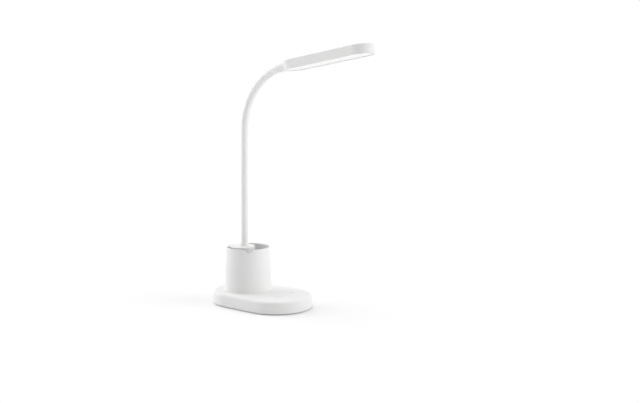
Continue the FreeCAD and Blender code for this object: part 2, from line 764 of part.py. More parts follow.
def build_lamp_lead():
    """The lead from the control board up through the base, the cup and the tower to the stud."""
    radius = 1.2
    bend = 12.0
    run_z = ROOF_Z.value - 1.0 - radius
    x_up = value("neck_x")
    plug_x = 22.5
    top = Vector(x_up, 0, value("cap_top"))
    bend_start = Vector(x_up, 0, run_z + bend)
    half = bend * (1 - math.sqrt(0.5))
    bend_middle = Vector(x_up + half, 0, run_z + half)
    bend_end = Vector(x_up + bend, 0, run_z)
    path = Part.Wire([
        Part.LineSegment(top, bend_start).toShape(),
        Part.Arc(bend_start, bend_middle, bend_end).toShape(),
        Part.LineSegment(bend_end, Vector(plug_x, 0, run_z)).toShape(),
    ])
    add_group("lamp_lead", [lead(radius, path)])


# ---------------------------------------------------------------------------
# Gooseneck: a chain of short stretches with ball ends
# ---------------------------------------------------------------------------

LINK_PITCH = 27.4
BEND_STEP = 15.2
UPRIGHT_JOINTS = 7
BEND_JOINTS = 4


def joint_heights():
    """Heights of the joints in the upright part, from the lowest to the start of the bend."""
    last = value("neck_bend_z")
    return [last - LINK_PITCH * back for back in range(UPRIGHT_JOINTS - 1, -1, -1)]


def bend_point(turn):
    """The point of the neck's axis this many degrees into its bend."""
    radius = value("neck_bend_radius")
    angle = math.radians(turn)
    return Vector(
        value("neck_x") + radius * (1 - math.cos(angle)),
        0,
        value("neck_bend_z") + radius * math.sin(angle),
    )


def add_sphere(centre, radius):
    """A ball about a joint of the neck."""
    ball = doc.addObject("Part::Sphere", "ball")
    bind(ball, "Radius", radius)
    ball.Placement = Placement(centre, Rotation())
    return ball


def straight_stretch(radius, low, high):
    """A round stretch of the upright neck between two heights."""
    stretch = doc.addObject("Part::Cylinder", "stretch")
    bind(stretch, "Radius", radius)
    stretch.Height = high - low
    stretch.Placement = Placement(Vector(value("neck_x"), 0, low), Rotation())
    return stretch


def bent_stretch(radius, start, end):
    """A round stretch of the neck's bend between two angles from its start."""
    stretch = doc.addObject("Part::Torus", "stretch")
    bind(stretch, "Radius1", cell("neck_bend_radius"))
    bind(stretch, "Radius2", radius)
    stretch.Angle3 = end - start
    centre = Vector(value("neck_x") + value("neck_bend_radius"), 0, value("neck_bend_z"))
    # Half a turn about (0, 1, 1) lays the ring in the plane y = 0, to start at -X and go upwards.
    laid = Rotation(Vector(0, 1, 1), 180)
    stretch.Placement = Placement(centre, Rotation(Vector(0, 1, 0), start).multiply(laid))
    return stretch


def boolean(kind, base, tool):
    """A Part boolean of two objects."""
    result = doc.addObject(kind, "step")
    result.Base = base
    result.Tool = tool
    return result


def add_link(label, stretch, bore, seat_centre=None, ball_centre=None, extra_cut=None):
    """One link: a stretch with a hollow seat at its lower end, a ball at its upper end, and a bore."""
    solid = stretch
    if ball_centre is not None:
        solid = boolean("Part::Fuse", solid, add_sphere(ball_centre, cell("neck_radius")))
    if seat_centre is not None:
        seat = add_sphere(seat_centre, cell("neck_radius") + cell("seat_play"))
        solid = boolean("Part::Cut", solid, seat)
    solid = boolean("Part::Cut", solid, bore)
    if extra_cut is not None:
        solid = boolean("Part::Cut", solid, extra_cut)
    keep(solid, label)
    return solid


def build_neck():
    """The foot piece on the lid, the ten loose links, and the last stretch, which ends at the head."""
    radius = cell("neck_radius")
    bore = cell("neck_bore")
    heights = joint_heights()
    over = value("neck_radius") + 1.0
    foot_low = value("cap_top")
    first = Vector(value("neck_x"), 0, heights[0])
    counterbore = straight_stretch(as_size(STUD_RADIUS), foot_low, foot_low + STUD_IN_NECK)
    add_link(
        "neck_foot",
        straight_stretch(radius, foot_low, heights[0]),
        straight_stretch(bore, foot_low, heights[0] + over),
        ball_centre=first,
        extra_cut=counterbore,
    )
    for number, (low, high) in enumerate(zip(heights, heights[1:]), start=1):
        add_link(
            f"neck_link_{number:02d}",
            straight_stretch(radius, low, high),
            straight_stretch(bore, low, high + over),
            seat_centre=Vector(value("neck_x"), 0, low),
            ball_centre=Vector(value("neck_x"), 0, high),
        )
    ball_turn = math.degrees(over / value("neck_bend_radius"))
    for step in range(BEND_JOINTS):
        start, end = BEND_STEP * step, BEND_STEP * (step + 1)
        add_link(
            f"neck_link_{UPRIGHT_JOINTS + step:02d}",
            bent_stretch(radius, start, end),
            bent_stretch(bore, start, end + ball_turn),
            seat_centre=bend_point(start),
            ball_centre=bend_point(end),
        )
    last = BEND_STEP * BEND_JOINTS
    whole_bend = 90.0 - value("head_tilt")
    tip_socket = head_cylinder(HEAD_STUD_RADIUS, NECK_END_X - HEAD_STUD_IN_NECK, NECK_END_X)
    add_link(
        "neck_tip",
        bent_stretch(radius, last, whole_bend),
        bent_stretch(bore, last, whole_bend),
        seat_centre=bend_point(last),
        extra_cut=tip_socket,
    )


# ---------------------------------------------------------------------------
# Head: shell, diffuser, reflector, light board
# ---------------------------------------------------------------------------

HEAD_STUD_RADIUS = 3.0
HEAD_STUD_IN_NECK = 8.0
SLEEVE_STEPS = 4
SLEEVE_IN_HEAD = 3.0
NECK_END_X = -value("head_reach")
NECK_AXIS_Z = value("head_drop")
HEAD_LOW = cell("head_thick") * -0.5
LEDGE_Z = HEAD_LOW + cell("diffuser_recess") + cell("diffuser_thick")
HEAD_ROOF_Z = cell("head_thick") * 0.5 - cell("head_roof")
BLOCK_X = 5.0
LIGHT_BOARD_THICK = 1.2
LIGHT_BOARD_LENGTH = 144.0
LIGHT_BOARD_WIDTH = 26.4
LIGHT_BOARD_X = 82.5
CHIP_COUNT = 13
CHIP_PITCH = 10.0
CHIP_TALL = 0.8


def head_placement():
    """The head's own frame: X from its near end along it, Z out of its top, on its middle plane."""
    tilt = math.radians(value("head_tilt"))
    along = Vector(math.cos(tilt), 0, math.sin(tilt))
    upwards = Vector(-math.sin(tilt), 0, math.cos(tilt))
    neck_end = bend_point(90.0 - value("head_tilt"))
    near_end = neck_end + along * value("head_reach") - upwards * value("head_drop")
    return Placement(near_end, Rotation(Vector(0, 1, 0), -value("head_tilt")))


def head_body(label):
    """A body in the head's own frame."""
    body = doc.addObject("PartDesign::Body", label)
    body.Placement = head_placement()
    return keep(body, label)


def head_cylinder(radius, x_low, x_high):
    """A cylinder on the neck's axis, in the head's own frame."""
    cylinder = doc.addObject("Part::Cylinder", "core")
    cylinder.Radius = radius
    cylinder.Height = x_high - x_low
    start = Placement(Vector(x_low, 0, NECK_AXIS_Z), Rotation(Vector(0, 1, 0), 90))
    cylinder.Placement = head_placement().multiply(start)
    return cylinder


def draw_head_slot(sketch, inset):
    """The head's outline, drawn in by this much all round."""
    around = as_size(inset) * 2
    middle = cell("head_length") * 0.5
    draw_slot(sketch, cell("head_length") - around, cell("head_width") - around, middle, 0)


def build_head_shell():
    """The head's housing: a slim box with round ends, open below, with a ledge for the diffuser."""
    body = head_body("head_shell")
    outline = new_sketch(body, HEAD_LOW)
    draw_head_slot(outline, 0)
    add_pad(body, outline, cell("head_thick"))
    round_edges(body, 1.6, lies_at(value("head_thick") / 2))
    round_edges(body, 0.5, lies_at(HEAD_LOW.value))
    rim = new_sketch(body, LEDGE_Z)
    draw_head_slot(rim, cell("head_wall"))
    cut_pocket(body, rim, cell("diffuser_recess") + cell("diffuser_thick"))
    inside = new_sketch(body, HEAD_ROOF_Z)
    draw_head_slot(inside, cell("head_wall") + cell("head_ledge"))
    cut_pocket(body, inside, HEAD_ROOF_Z - LEDGE_Z)
    block = new_sketch(body, LEDGE_Z)
    draw_box(block, 2.2, BLOCK_X, -8, 8)
    add_pad(body, block, HEAD_ROOF_Z - LEDGE_Z)
    pilots = new_sketch(body, HEAD_ROOF_Z)
    for x, y in light_screw_spots():
        draw_circle(pilots, 0.85, x, y)
    cut_pocket(body, pilots, 1.5, upwards=True)
    stud_hole = body.newObject("PartDesign::SubtractiveCylinder", "stud_hole")
    stud_hole.Radius = HEAD_STUD_RADIUS + 0.05
    stud_hole.Height = BLOCK_X + 2
    stud_hole.Placement = Placement(Vector(-1, 0, NECK_AXIS_Z), Rotation(Vector(0, 1, 0), 90))
    doc.recompute()
    return body


def light_screw_spots():
    """Where the four screws of the light board stand, in the head's own frame."""
    reach = LIGHT_BOARD_LENGTH / 2 - 4.0
    side = LIGHT_BOARD_WIDTH / 2 - 3.0
    return [(LIGHT_BOARD_X + along * reach, across * side) for along in (-1, 1) for across in (-1, 1)]


def build_light_board():
    """The aluminium light board under the roof, its chips and its screws."""
    body = head_body("light_board")
    outline = new_sketch(body, HEAD_ROOF_Z - LIGHT_BOARD_THICK)
    half = LIGHT_BOARD_LENGTH / 2
    side = LIGHT_BOARD_WIDTH / 2
    draw_box(outline, LIGHT_BOARD_X - half, LIGHT_BOARD_X + half, -side, side)
    add_pad(body, outline, LIGHT_BOARD_THICK)
    holes = new_sketch(body, HEAD_ROOF_Z)
    for x, y in light_screw_spots():
        draw_circle(holes, 1.0, x, y)
    cut_pocket(body, holes, LIGHT_BOARD_THICK)

    under = HEAD_ROOF_Z.value - LIGHT_BOARD_THICK
    chip = Part.makeBox(2.8, 3.5, CHIP_TALL, Vector(-1.4, -1.75, -CHIP_TALL))
    first_x = LIGHT_BOARD_X - CHIP_PITCH * (CHIP_COUNT - 1) / 2
    chips = [moved(chip, first_x + CHIP_PITCH * number, 0, under) for number in range(CHIP_COUNT)]
    add_group("light_chips", chips, head_placement())
    small_screw = screw(1.7, 1.0, 0.8, LIGHT_BOARD_THICK + 1.4)
    screws = [moved(small_screw, x, y, under) for x, y in light_screw_spots()]
    add_group("light_board_screws", screws, head_placement())


def build_reflector():
    """The white tray with sloping sides between the light board and the diffuser."""
    body = head_body("reflector_tray")
    wall = 0.8
    low, high = LEDGE_Z, HEAD_ROOF_Z - LIGHT_BOARD_THICK
    for grown, feature in ((0, "PartDesign::AdditiveLoft"), (wall * 2, "PartDesign::SubtractiveLoft")):
        bottom = new_sketch(body, low)
        draw_slot(bottom, 148.0 - grown, 34.6 - grown, 87.4, 0)
        top = new_sketch(body, high)
        draw_slot(top, 132.0 - grown, 20.0 - grown, 84.5, 0)
        loft = body.newObject(feature, "sides")
        loft.Profile = bottom
        loft.Sections = [top]
        doc.recompute()
    return body


def build_diffuser():
    """The opal diffuser, recessed a little into the head's lower rim."""
    body = head_body("diffuser")
    outline = new_sketch(body, LEDGE_Z - cell("diffuser_thick"))
    draw_head_slot(outline, cell("head_wall") + 0.1)
    add_pad(body, outline, cell("diffuser_thick"))
    return body


def tapered_sleeve():
    """A sleeve that follows the end of the neck's bend and widens evenly up to the head."""
    length, mouth = value("ferrule_length"), value("ferrule_mouth")
    growth = (value("ferrule_radius") - mouth) / (length + value("head_reach"))
    whole_bend = 90.0 - value("head_tilt")
    places = []
    for step in range(SLEEVE_STEPS + 1):
        along = length * step / SLEEVE_STEPS
        turn = whole_bend - math.degrees((length - along) / value("neck_bend_radius"))
        angle = math.radians(turn)
        tangent = Vector(math.sin(angle), 0, math.cos(angle))
        facing = Rotation(Vector(0, 0, 1), tangent)
        places.append((along, Placement(bend_point(turn), facing)))
    inside = Placement(Vector(SLEEVE_IN_HEAD, 0, NECK_AXIS_Z), Rotation(Vector(0, 1, 0), 90))
    places.append((length + value("head_reach") + SLEEVE_IN_HEAD, head_placement().multiply(inside)))
    rings = []
    for along, place in places:
        ring = doc.addObject("Part::Circle", "ring")
        ring.Radius = mouth + growth * along
        ring.Placement = place
        rings.append(ring)
    sleeve = doc.addObject("Part::Loft", "sleeve")
    sleeve.Sections = rings
    sleeve.Solid = True
    return sleeve


def build_head_mount():
    """What joins the head to the neck: a sleeve, a hollow stud and its nut, and the two leads."""
    sleeve = tapered_sleeve()
    shell_end = doc.addObject("Part::Cylinder", "shell_end")
    bind(shell_end, "Radius", cell("head_width") * 0.5)
    shell_end.Height = value("head_thick") * 2
    end_place = Placement(Vector(value("head_width") / 2, 0, -value("head_thick")), Rotation())
    shell_end.Placement = head_placement().multiply(end_place)
    whole_bend = 90.0 - value("head_tilt")
    neck_way = bent_stretch(cell("neck_radius") + 0.1, whole_bend - 12.0, whole_bend)
    cut_end = boolean("Part::Cut", sleeve, shell_end)
    cut_neck = boolean("Part::Cut", cut_end, neck_way)
    stud_way = head_cylinder(HEAD_STUD_RADIUS + 0.05, NECK_END_X - 1, 4.0)
    keep(boolean("Part::Cut", cut_neck, stud_way), "head_ferrule")

    stud_low, stud_high = NECK_END_X - HEAD_STUD_IN_NECK, BLOCK_X + 4.5
    stud = head_cylinder(HEAD_STUD_RADIUS, stud_low, stud_high)
    keep(boolean("Part::Cut", stud, head_cylinder(1.7, stud_low, stud_high)), "head_stud")
    nut = doc.addObject("PartDesign::Body", "head_nut")
    turned = Placement(Vector(BLOCK_X, 0, NECK_AXIS_Z), Rotation(Vector(0, 1, 0), 90))
    nut.Placement = head_placement().multiply(turned)
    keep(nut, "head_nut")
    draw_nut(nut, 8.4, HEAD_STUD_RADIUS + 0.02, 3.0)

    radius, bend = 0.55, 3.5
    up_x = 14.0
    board_z = HEAD_ROOF_Z.value - LIGHT_BOARD_THICK
    half = bend * (1 - math.sqrt(0.5))
    wires = []
    for y in (-0.8, 0.8):
        start = Vector(stud_low + 1.0, y, NECK_AXIS_Z)
        turn_start = Vector(up_x - bend, y, NECK_AXIS_Z)
        turn_middle = Vector(up_x - half, y, NECK_AXIS_Z + half)
        turn_end = Vector(up_x, y, NECK_AXIS_Z + bend)
        path = Part.Wire([
            Part.LineSegment(start, turn_start).toShape(),
            Part.Arc(turn_start, turn_middle, turn_end).toShape(),
            Part.LineSegment(turn_end, Vector(up_x, y, board_z)).toShape(),
        ])
        wires.append(lead(radius, path))
    add_group("head_leads", wires, head_placement())


# ---------------------------------------------------------------------------
# Build, check and export
# ---------------------------------------------------------------------------

for build in (
    build_base_shell, build_base_floor, build_feet, build_ballast, build_battery, build_board,
    build_port, build_base_fasteners, build_cup, build_tower, build_cap, build_neck_mount,
    build_lamp_lead, build_neck, build_head_shell, build_light_board, build_reflector,
    build_diffuser, build_head_mount,
):
    build()
doc.recompute()

for item in doc.Objects:
    if "Invalid" in item.State or "Error" in item.State:
        raise RuntimeError(f"{item.Label} failed to build: {item.State}")

os.makedirs("parts", exist_ok=True)
for sub_part in SUB_PARTS:
    shape = sub_part.Shape
    if shape.isNull() or not shape.isValid():
        raise RuntimeError(f"{sub_part.Label} has no valid shape")
    shape.exportStep(f"parts/{sub_part.Label}.step")
    print(f"{sub_part.Label:22s} {len(shape.Solids)} solid(s) {shape.Volume:10.1f} mm3")
for number, height in enumerate(joint_heights()):
    print(f"joint {number}: x {value('neck_x'):.3f} z {height:.3f}")
for step in range(1, BEND_JOINTS + 1):
    spot = bend_point(BEND_STEP * step)
    print(f"joint {UPRIGHT_JOINTS - 1 + step}: x {spot.x:.3f} z {spot.z:.3f} turn {BEND_STEP * step:.1f}")
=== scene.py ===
import json
import math

import bpy
import numpy as np
from bpy.props import FloatProperty, FloatVectorProperty, PointerProperty
from mathutils import Euler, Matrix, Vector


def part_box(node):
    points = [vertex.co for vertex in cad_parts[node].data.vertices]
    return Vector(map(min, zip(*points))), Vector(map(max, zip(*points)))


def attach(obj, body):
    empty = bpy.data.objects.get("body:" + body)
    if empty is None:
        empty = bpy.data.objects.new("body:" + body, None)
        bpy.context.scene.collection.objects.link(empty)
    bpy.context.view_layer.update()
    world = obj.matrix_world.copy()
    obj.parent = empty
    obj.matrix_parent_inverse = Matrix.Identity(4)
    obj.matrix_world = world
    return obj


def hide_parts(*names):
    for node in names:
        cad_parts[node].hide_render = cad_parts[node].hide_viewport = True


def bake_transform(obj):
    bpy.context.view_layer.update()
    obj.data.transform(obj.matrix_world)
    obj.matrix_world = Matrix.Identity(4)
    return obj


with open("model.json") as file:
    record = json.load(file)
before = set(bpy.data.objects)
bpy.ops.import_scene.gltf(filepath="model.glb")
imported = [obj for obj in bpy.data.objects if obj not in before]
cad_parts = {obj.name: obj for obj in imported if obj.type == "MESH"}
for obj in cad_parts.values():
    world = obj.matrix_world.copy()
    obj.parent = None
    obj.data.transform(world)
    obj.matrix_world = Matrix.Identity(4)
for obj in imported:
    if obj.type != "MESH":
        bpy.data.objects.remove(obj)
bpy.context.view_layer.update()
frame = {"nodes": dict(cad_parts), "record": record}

bl_info = {
    "name": "Pen-cup desk lamp",
    "version": (1, 0, 0),
    "blender": (4, 5, 0),
    "location": "View3D > Sidebar > Lamp",
    "description": "Dresses a gooseneck desk lamp with a pen cup on its base",
    "category": "Object",
}

# Every length is in metres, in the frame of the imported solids: Z up, the desk at z = 0, X along the
# base towards the end that the head reaches over, and the lamp is built about the plane y = 0.

BASE = "base"
HEAD = "head"
TURN = 2 * math.pi
SHARP_ANGLE = math.radians(38)

# Points round a turned piece, a ring on the neck, and the neck's sleeve.
AROUND = 192
RING_AROUND = 96
TUBE_AROUND = 48

# Gap to what a piece goes round, and the least number that a division takes.
CLEARANCE = 0.00005
TINY = 1e-9


# ---- Settings ----

def length(description, default):
    """A length in metres."""
    return FloatProperty(description=description, default=default, min=0.0, subtype="DISTANCE", unit="LENGTH")


def spot(description, default):
    """A point in metres, on the plan or in space."""
    return FloatVectorProperty(
        description=description, default=default, size=len(default), subtype="TRANSLATION", unit="LENGTH",
    )


def angle(description, degrees):
    """An angle that the panel shows in degrees."""
    default = math.radians(degrees)
    return FloatProperty(description=description, default=default, subtype="ANGLE", unit="ROTATION")


def colour(description, default):
    """A linear colour that the panel shows as a swatch."""
    return FloatVectorProperty(
        description=description, default=default, size=len(default), min=0.0, max=1.0, subtype="COLOR",
    )


def share(description, default, top=1.0):
    """A plain number from nought to a limit."""
    return FloatProperty(description=description, default=default, min=0.0, max=top)


class LampShape(bpy.types.PropertyGroup):
    """Sizes of the lamp's visible surfaces that its solids' boxes don't give."""
    base_length: length("Base over its round ends, at its lower edge", 0.1762)
    base_width: length("Base across, at its lower edge", 0.1122)
    base_draft: length("How far the side leans in from its lower edge to the top", 0.0010)
    base_wall: length("Wall of the base's skirt", 0.0022)
    base_round: length("Rounding of the base's top edge", 0.0040)
    skirt_round: length("Rounding of the skirt's lower edge", 0.0004)
    port_x: length("Middle of the charging inlet, along the base", 0.022)
    port_z: length("Middle of the charging inlet, above the desk", 0.01365)
    port_width: length("Opening for the charging socket, across", 0.0097)
    port_tall: length("Opening for the charging socket, upright", 0.0040)
    recess_width: length("Recess round the inlet, across", 0.0126)
    recess_tall: length("Recess round the inlet, upright", 0.0065)
    recess_floor: length("Lower edge of the base's side to the floor of the recess", 0.0016)
    power_key: spot("Middle of the switch's mark on the base", (0.0461, -0.0118))
    dimmer_key: spot("Middle of the dimmer's mark on the base", (0.0419, 0.0228))
    mark_radius: length("Radius of the printed marks", 0.0036)
    mark_turn: angle("Direction of the marks' upper side from the X axis", 90.0)
    print_width: length("Width of the printed lines", 0.0005)
    print_thick: length("Height of the printed lines above the base", 0.00003)
    cup_rim: length("Outer radius of the cup at its rim", 0.0355)
    cup_foot: length("Outer radius of the cup above its flared foot", 0.0387)
    cup_rim_wall: length("Wall of the cup at its rim", 0.0013)
    cup_foot_wall: length("Wall of the cup at its foot", 0.0022)
    cup_floor: length("Floor of the cup", 0.0020)
    cup_flange: length("How far the cup's foot flares out", 0.0010)
    cup_rim_round: length("Rounding of the rim's outer edge", 0.0006)
    notch_wide: length("Width of the notch at the rim", 0.0147)
    notch_narrow: length("Width of the notch at its bottom", 0.0070)
    notch_deep: length("Depth of the notch", 0.0052)
    notch_turn: angle("Direction of the notch from the X axis", -45.0)
    lid_radius: length("Radius of the tower's lid", 0.0207)
    lid_round: length("Rounding of the lid's upper edge", 0.0007)
    tower_radius: length("Radius of the tower under the lid", 0.02025)
    web_drop: length("Rim of the cup to the top of its webs", 0.0007)
    web_reach: angle("Where the webs beside the tower end, from the back of the cup", 36.5)
    neck_radius: length("Radius of the gooseneck", 0.00615)
    neck_bend_radius: length("Radius of the neck's bend", 0.1020)
    collar_flare: length("How far the neck's collar spreads on the lid", 0.0026)
    head_length: length("Head over its round ends", 0.1655)
    head_width: length("Head across", 0.043)
    head_thick: length("Head between its flat faces", 0.0153)
    head_wall: length("Wall of the head's lower rim", 0.0017)
    head_round: length("Rounding of the head's upper edge", 0.0016)
    head_rim_round: length("Rounding of the head's lower edge", 0.0005)
    head_reach: length("End of the neck's bend to the head", 0.0045)
    head_drop: length("Head's middle plane below the neck's axis", 0.00025)
    head_tilt: angle("Tilt of the head above the level", 8.1)
    diffuser_recess: length("Lower edge of the head to the diffuser", 0.0012)
    diffuser_thick: length("Thickness of the diffuser", 0.0014)
    ferrule_radius: length("Radius of the sleeve between neck and head, at the head", 0.0076)
    ferrule_mouth: length("Radius of that sleeve where it starts on the neck", 0.00665)
    ferrule_length: length("Length of the sleeve before the end of the neck's bend", 0.0150)


class LampFinish(bpy.types.PropertyGroup):
    """Colours and surface detail of the lamp."""
    white: colour("Moulded white plastic of base, cup and head", (0.86, 0.86, 0.855))
    sleeve: colour("White sleeve of the gooseneck", (0.91, 0.91, 0.905))
    opal: colour("Opal diffuser", (0.90, 0.90, 0.895))
    glow: share("Light that the diffuser gives by itself", 0.13, 5.0)
    print_grey: colour("Printed marks of the touch keys", (0.45, 0.45, 0.46))
    satin: share("Roughness of the moulded plastic", 0.46)
    grain: length("Size of the moulded surface's fine grain", 0.0004)
    rubber: colour("Rubber feet", (0.46, 0.46, 0.46))


class LampStage(bpy.types.PropertyGroup):
    """Camera and light."""
    camera_place: spot("Where the camera stands", (0.9501, -1.0347, 0.3307))
    camera_turn: angle("Turn of the level camera about the Z axis", 38.74)
    camera_lens: share("Focal length in millimetres on a 36 mm wide sensor", 48.73, 300.0)
    camera_shift: FloatProperty(description="Upward shift of the view", default=-0.1594)
    floor_radius: length("Radius of the round floor", 400.0)
    floor_colour: colour("Pale floor", (0.80, 0.80, 0.80))
    floor_lift: share("Light added to the floor where the camera sees it", 0.14)
    room: share("Even level of the room's soft light", 0.33, 5.0)
    right_light: share("Level of the low soft light on the right", 2.95, 20.0)
    left_light: share("Level of the low soft light on the left", 3.3, 20.0)
    rear_light: share("Level of the low soft light behind on the left", 0.1, 20.0)
    high_right_light: share("Level of the high soft light on the right", 0.6, 20.0)
    high_left_light: share("Level of the high soft light behind on the left", 1.6, 20.0)
    side_focus: share("How closely the side lights keep to their directions", 10.0, 50.0)
    right_turn: angle("Direction of the right lights from the X axis", 32.0)
    left_turn: angle("Direction of the low left light from the X axis", 199.0)
    rear_turn: angle("Direction of the low rear light from the X axis", 149.0)
    high_left_turn: angle("Direction of the high left light from the X axis", 170.0)
    low_rise: angle("Height of the low lights above the level", 12.0)
    high_rise: angle("Height of the high lights above the level", 45.0)
    canopy_light: share("Level of the broad soft light overhead", 0.6, 20.0)
    canopy_focus: share("How closely the broad overhead light keeps to its direction", 3.0, 50.0)


def shape():
    """The lamp's sizes."""
    return bpy.context.scene.lamp_shape


def finish():
    """The lamp's colours."""
    return bpy.context.scene.lamp_finish


def stage():
    """The camera's and the room's settings."""
    return bpy.context.scene.lamp_stage


# ---- Mesh helpers ----

def grid_faces(rows, columns):
    """Quads between the neighbouring points of a grid whose rows run round a closed loop."""
    row, column = np.meshgrid(np.arange(rows - 1), np.arange(columns), indexing="ij")
    following = (column + 1) % columns
    corners = (row * columns + column, row * columns + following,
               (row + 1) * columns + following, (row + 1) * columns + column)
    return np.stack(corners, axis=-1).reshape(-1, 4)


def fan_volume(points, corners):
    """Sum over each face's fan of triangles of a . (b x c) / 6, for faces of equal corner count."""
    first = points[corners[:, 0]]
    total = 0.0
    for step in range(1, corners.shape[1] - 1):
        second, third = points[corners[:, step]], points[corners[:, step + 1]]
        total += float(np.einsum("ij,ij->", first, np.cross(second, third)))
    return total / 6.0


def outward(skin):
    """The skin with its faces looking outwards. A skin is an array of points and one array of faces
    for each corner count; where its faces enclose less than nothing, all of them are turned."""
    points, *face_sets = skin
    if sum(fan_volume(points, corners) for corners in face_sets) < 0:
        face_sets = [corners[:, ::-1] for corners in face_sets]
    return (points, *face_sets)


def joined(skins):
    """Several closed skins as one, each looking outwards."""
    points, face_sets, start = [], [], 0
    for skin in skins:
        here, *faces = outward(skin)
        points.append(here)
        face_sets += [corners + start for corners in faces]
        start += len(here)
    return (np.concatenate(points), *face_sets)


def only_used(points, *face_sets):
    """The skin without the points that none of its faces use."""
    used = np.unique(np.concatenate([corners.ravel() for corners in face_sets]))
    place = np.zeros(len(points), int)
    place[used] = np.arange(len(used))
    return (points[used], *(place[corners] for corners in face_sets))


def middle_x(node):
    """X of the middle of a solid's box."""
    low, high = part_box(node)
    return (low.x + high.x) / 2


def add_piece(name, skin, material, body, replaced=()):
    """A mesh object in the lamp's frame that rides on a body of the lamp where one is given."""
    points, *face_sets = outward(skin)
    mesh = bpy.data.meshes.new(name)
    mesh.from_pydata(points.tolist(), [], [face for corners in face_sets for face in corners.tolist()])
    mesh.validate()
    mesh.shade_smooth()
    mesh.set_sharp_from_angle(angle=SHARP_ANGLE)
    mesh.materials.append(material)
    piece = bpy.data.objects.new(name, mesh)
    bpy.context.scene.collection.objects.link(piece)
    if replaced:
        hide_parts(*replaced)
    if body is not None:
        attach(piece, body)
    return piece


def add_white(name, skin, body, node):
    """A piece of moulded white plastic that takes a solid's place."""
    return add_piece(name, skin, FINISHES["white_plastic"], body, [node])


def closed_loops(rings):
    """Points and faces of a closed skin through rings of equal count, with a flat lid at each end."""
    rows, columns = rings.shape[:2]
    last = np.arange((rows - 1) * columns, rows * columns)
    lids = np.stack([np.arange(columns)[::-1], last])
    return rings.reshape(-1, 3), grid_faces(rows, columns), lids


def ring_loops(rings):
    """Points and faces of a closed skin whose last ring joins its first: a ring-shaped piece."""
    rows, columns = rings.shape[:2]
    return rings.reshape(-1, 3), grid_faces(rows + 1, columns) % (rows * columns)


def rounded(corner, before, after, radius, steps):
    """Points of the arc that rounds a corner of a profile between the corners before and after it."""
    corner, before, after = (np.asarray(point, float) for point in (corner, before, after))
    to_before = (before - corner) / np.linalg.norm(before - corner)
    to_after = (after - corner) / np.linalg.norm(after - corner)
    half = math.acos(np.clip(to_before @ to_after, -1, 1)) / 2
    bisector = (to_before + to_after) / np.linalg.norm(to_before + to_after)
    centre = corner + bisector * radius / math.sin(half)
    first = corner + to_before * radius / math.tan(half) - centre
    last = corner + to_after * radius / math.tan(half) - centre
    sweep = math.atan2(first[0] * last[1] - first[1] * last[0], first @ last)
    turn = np.linspace(0, sweep, steps + 1)
    x = first[0] * np.cos(turn) - first[1] * np.sin(turn)
    y = first[0] * np.sin(turn) + first[1] * np.cos(turn)
    return np.stack([x, y], axis=-1) + centre


# Distance beside an arc at which a profile's extra point stands, for large, small and fine arcs.
MARGIN, SMALL_MARGIN, FINE_MARGIN = 0.0003, 0.0001, 0.00005


def profile(corners, margin=MARGIN, steps=6):
    """A profile through (x, y, rounding) corners, each turned by an arc of its rounding. Beside each
    arc stands one more point on the flat, so that smooth shading stays flat there."""
    count = len(corners)
    pieces = []
    for index, (x, y, radius) in enumerate(corners):
        here = np.array([x, y])
        if radius <= 0 or index in (0, count - 1):
            pieces.append(here[None])
            continue
        before = np.array(corners[index - 1][:2])
        after = np.array(corners[index + 1][:2])
        arc = rounded(here, before, after, radius, steps)
        lead_in = arc[0] + (before - here) / np.linalg.norm(before - here) * margin
        lead_out = arc[-1] + (after - here) / np.linalg.norm(after - here) * margin
        pieces.append(np.vstack([lead_in, arc, lead_out]))
    return np.vstack(pieces)


def divided(outline, first, count):
    """The profile with evenly spaced points put into the run that follows its point `first`."""
    run = np.linspace(outline[first], outline[first + 1], count + 2)[1:-1]
    return np.vstack([outline[:first + 1], run, outline[first + 1:]])


def slot_rings(half_straight, radius, inset_and_height, middle_x=0.0, straight=0):
    """Rings round a slot: each point stands radius - inset out from a centre that keeps still while
    the direction turns half round an end, and moves along the straight sides between the two end
    centres. Each point's height goes with its inset."""
    quarter = np.linspace(-math.pi / 2, math.pi / 2, AROUND // 2)
    run = np.linspace(half_straight, -half_straight, straight + 2)[1:-1]
    end = np.full(len(quarter), half_straight)
    centres = np.concatenate([end, run, -end, -run]) + middle_x
    ahead = np.full(straight, math.pi / 2)
    turns = np.concatenate([quarter, ahead, quarter + math.pi, ahead + math.pi])
    inset, height = inset_and_height[:, :1], inset_and_height[:, 1:]
    reach = radius - inset
    x = centres[None] + reach * np.cos(turns)[None]
    y = reach * np.sin(turns)[None]
    z = np.broadcast_to(height, x.shape)
    return np.stack([x, y, z], axis=-1)


def slot_edge(turns, width, tall):
    """An upright slot's outline by direction from its middle: where the ray meets the straight sides,
    or else the half circle at that end."""
    radius = tall / 2
    half = (width - tall) / 2
    across, up = np.cos(turns), np.sin(turns)
    to_side = radius / np.maximum(np.abs(up), TINY)
    to_end = half * np.abs(across) + np.sqrt(np.maximum(radius ** 2 - (half * up) ** 2, 0.0))
    reach = np.where(to_side * np.abs(across) <= half, to_side, to_end)
    return np.stack([reach * across, reach * up], axis=-1)


def turned_rings(radius_and_height, centre_x, count=AROUND):
    """Rings of a turned piece: each profile point goes once round an upright axis at its radius."""
    turns = np.linspace(0, TURN, count, endpoint=False)
    radius, height = radius_and_height[:, :1], radius_and_height[:, 1:]
    x = centre_x + radius * np.cos(turns)[None]
    y = radius * np.sin(turns)[None]
    z = np.broadcast_to(height, x.shape)
    return np.stack([x, y, z], axis=-1)


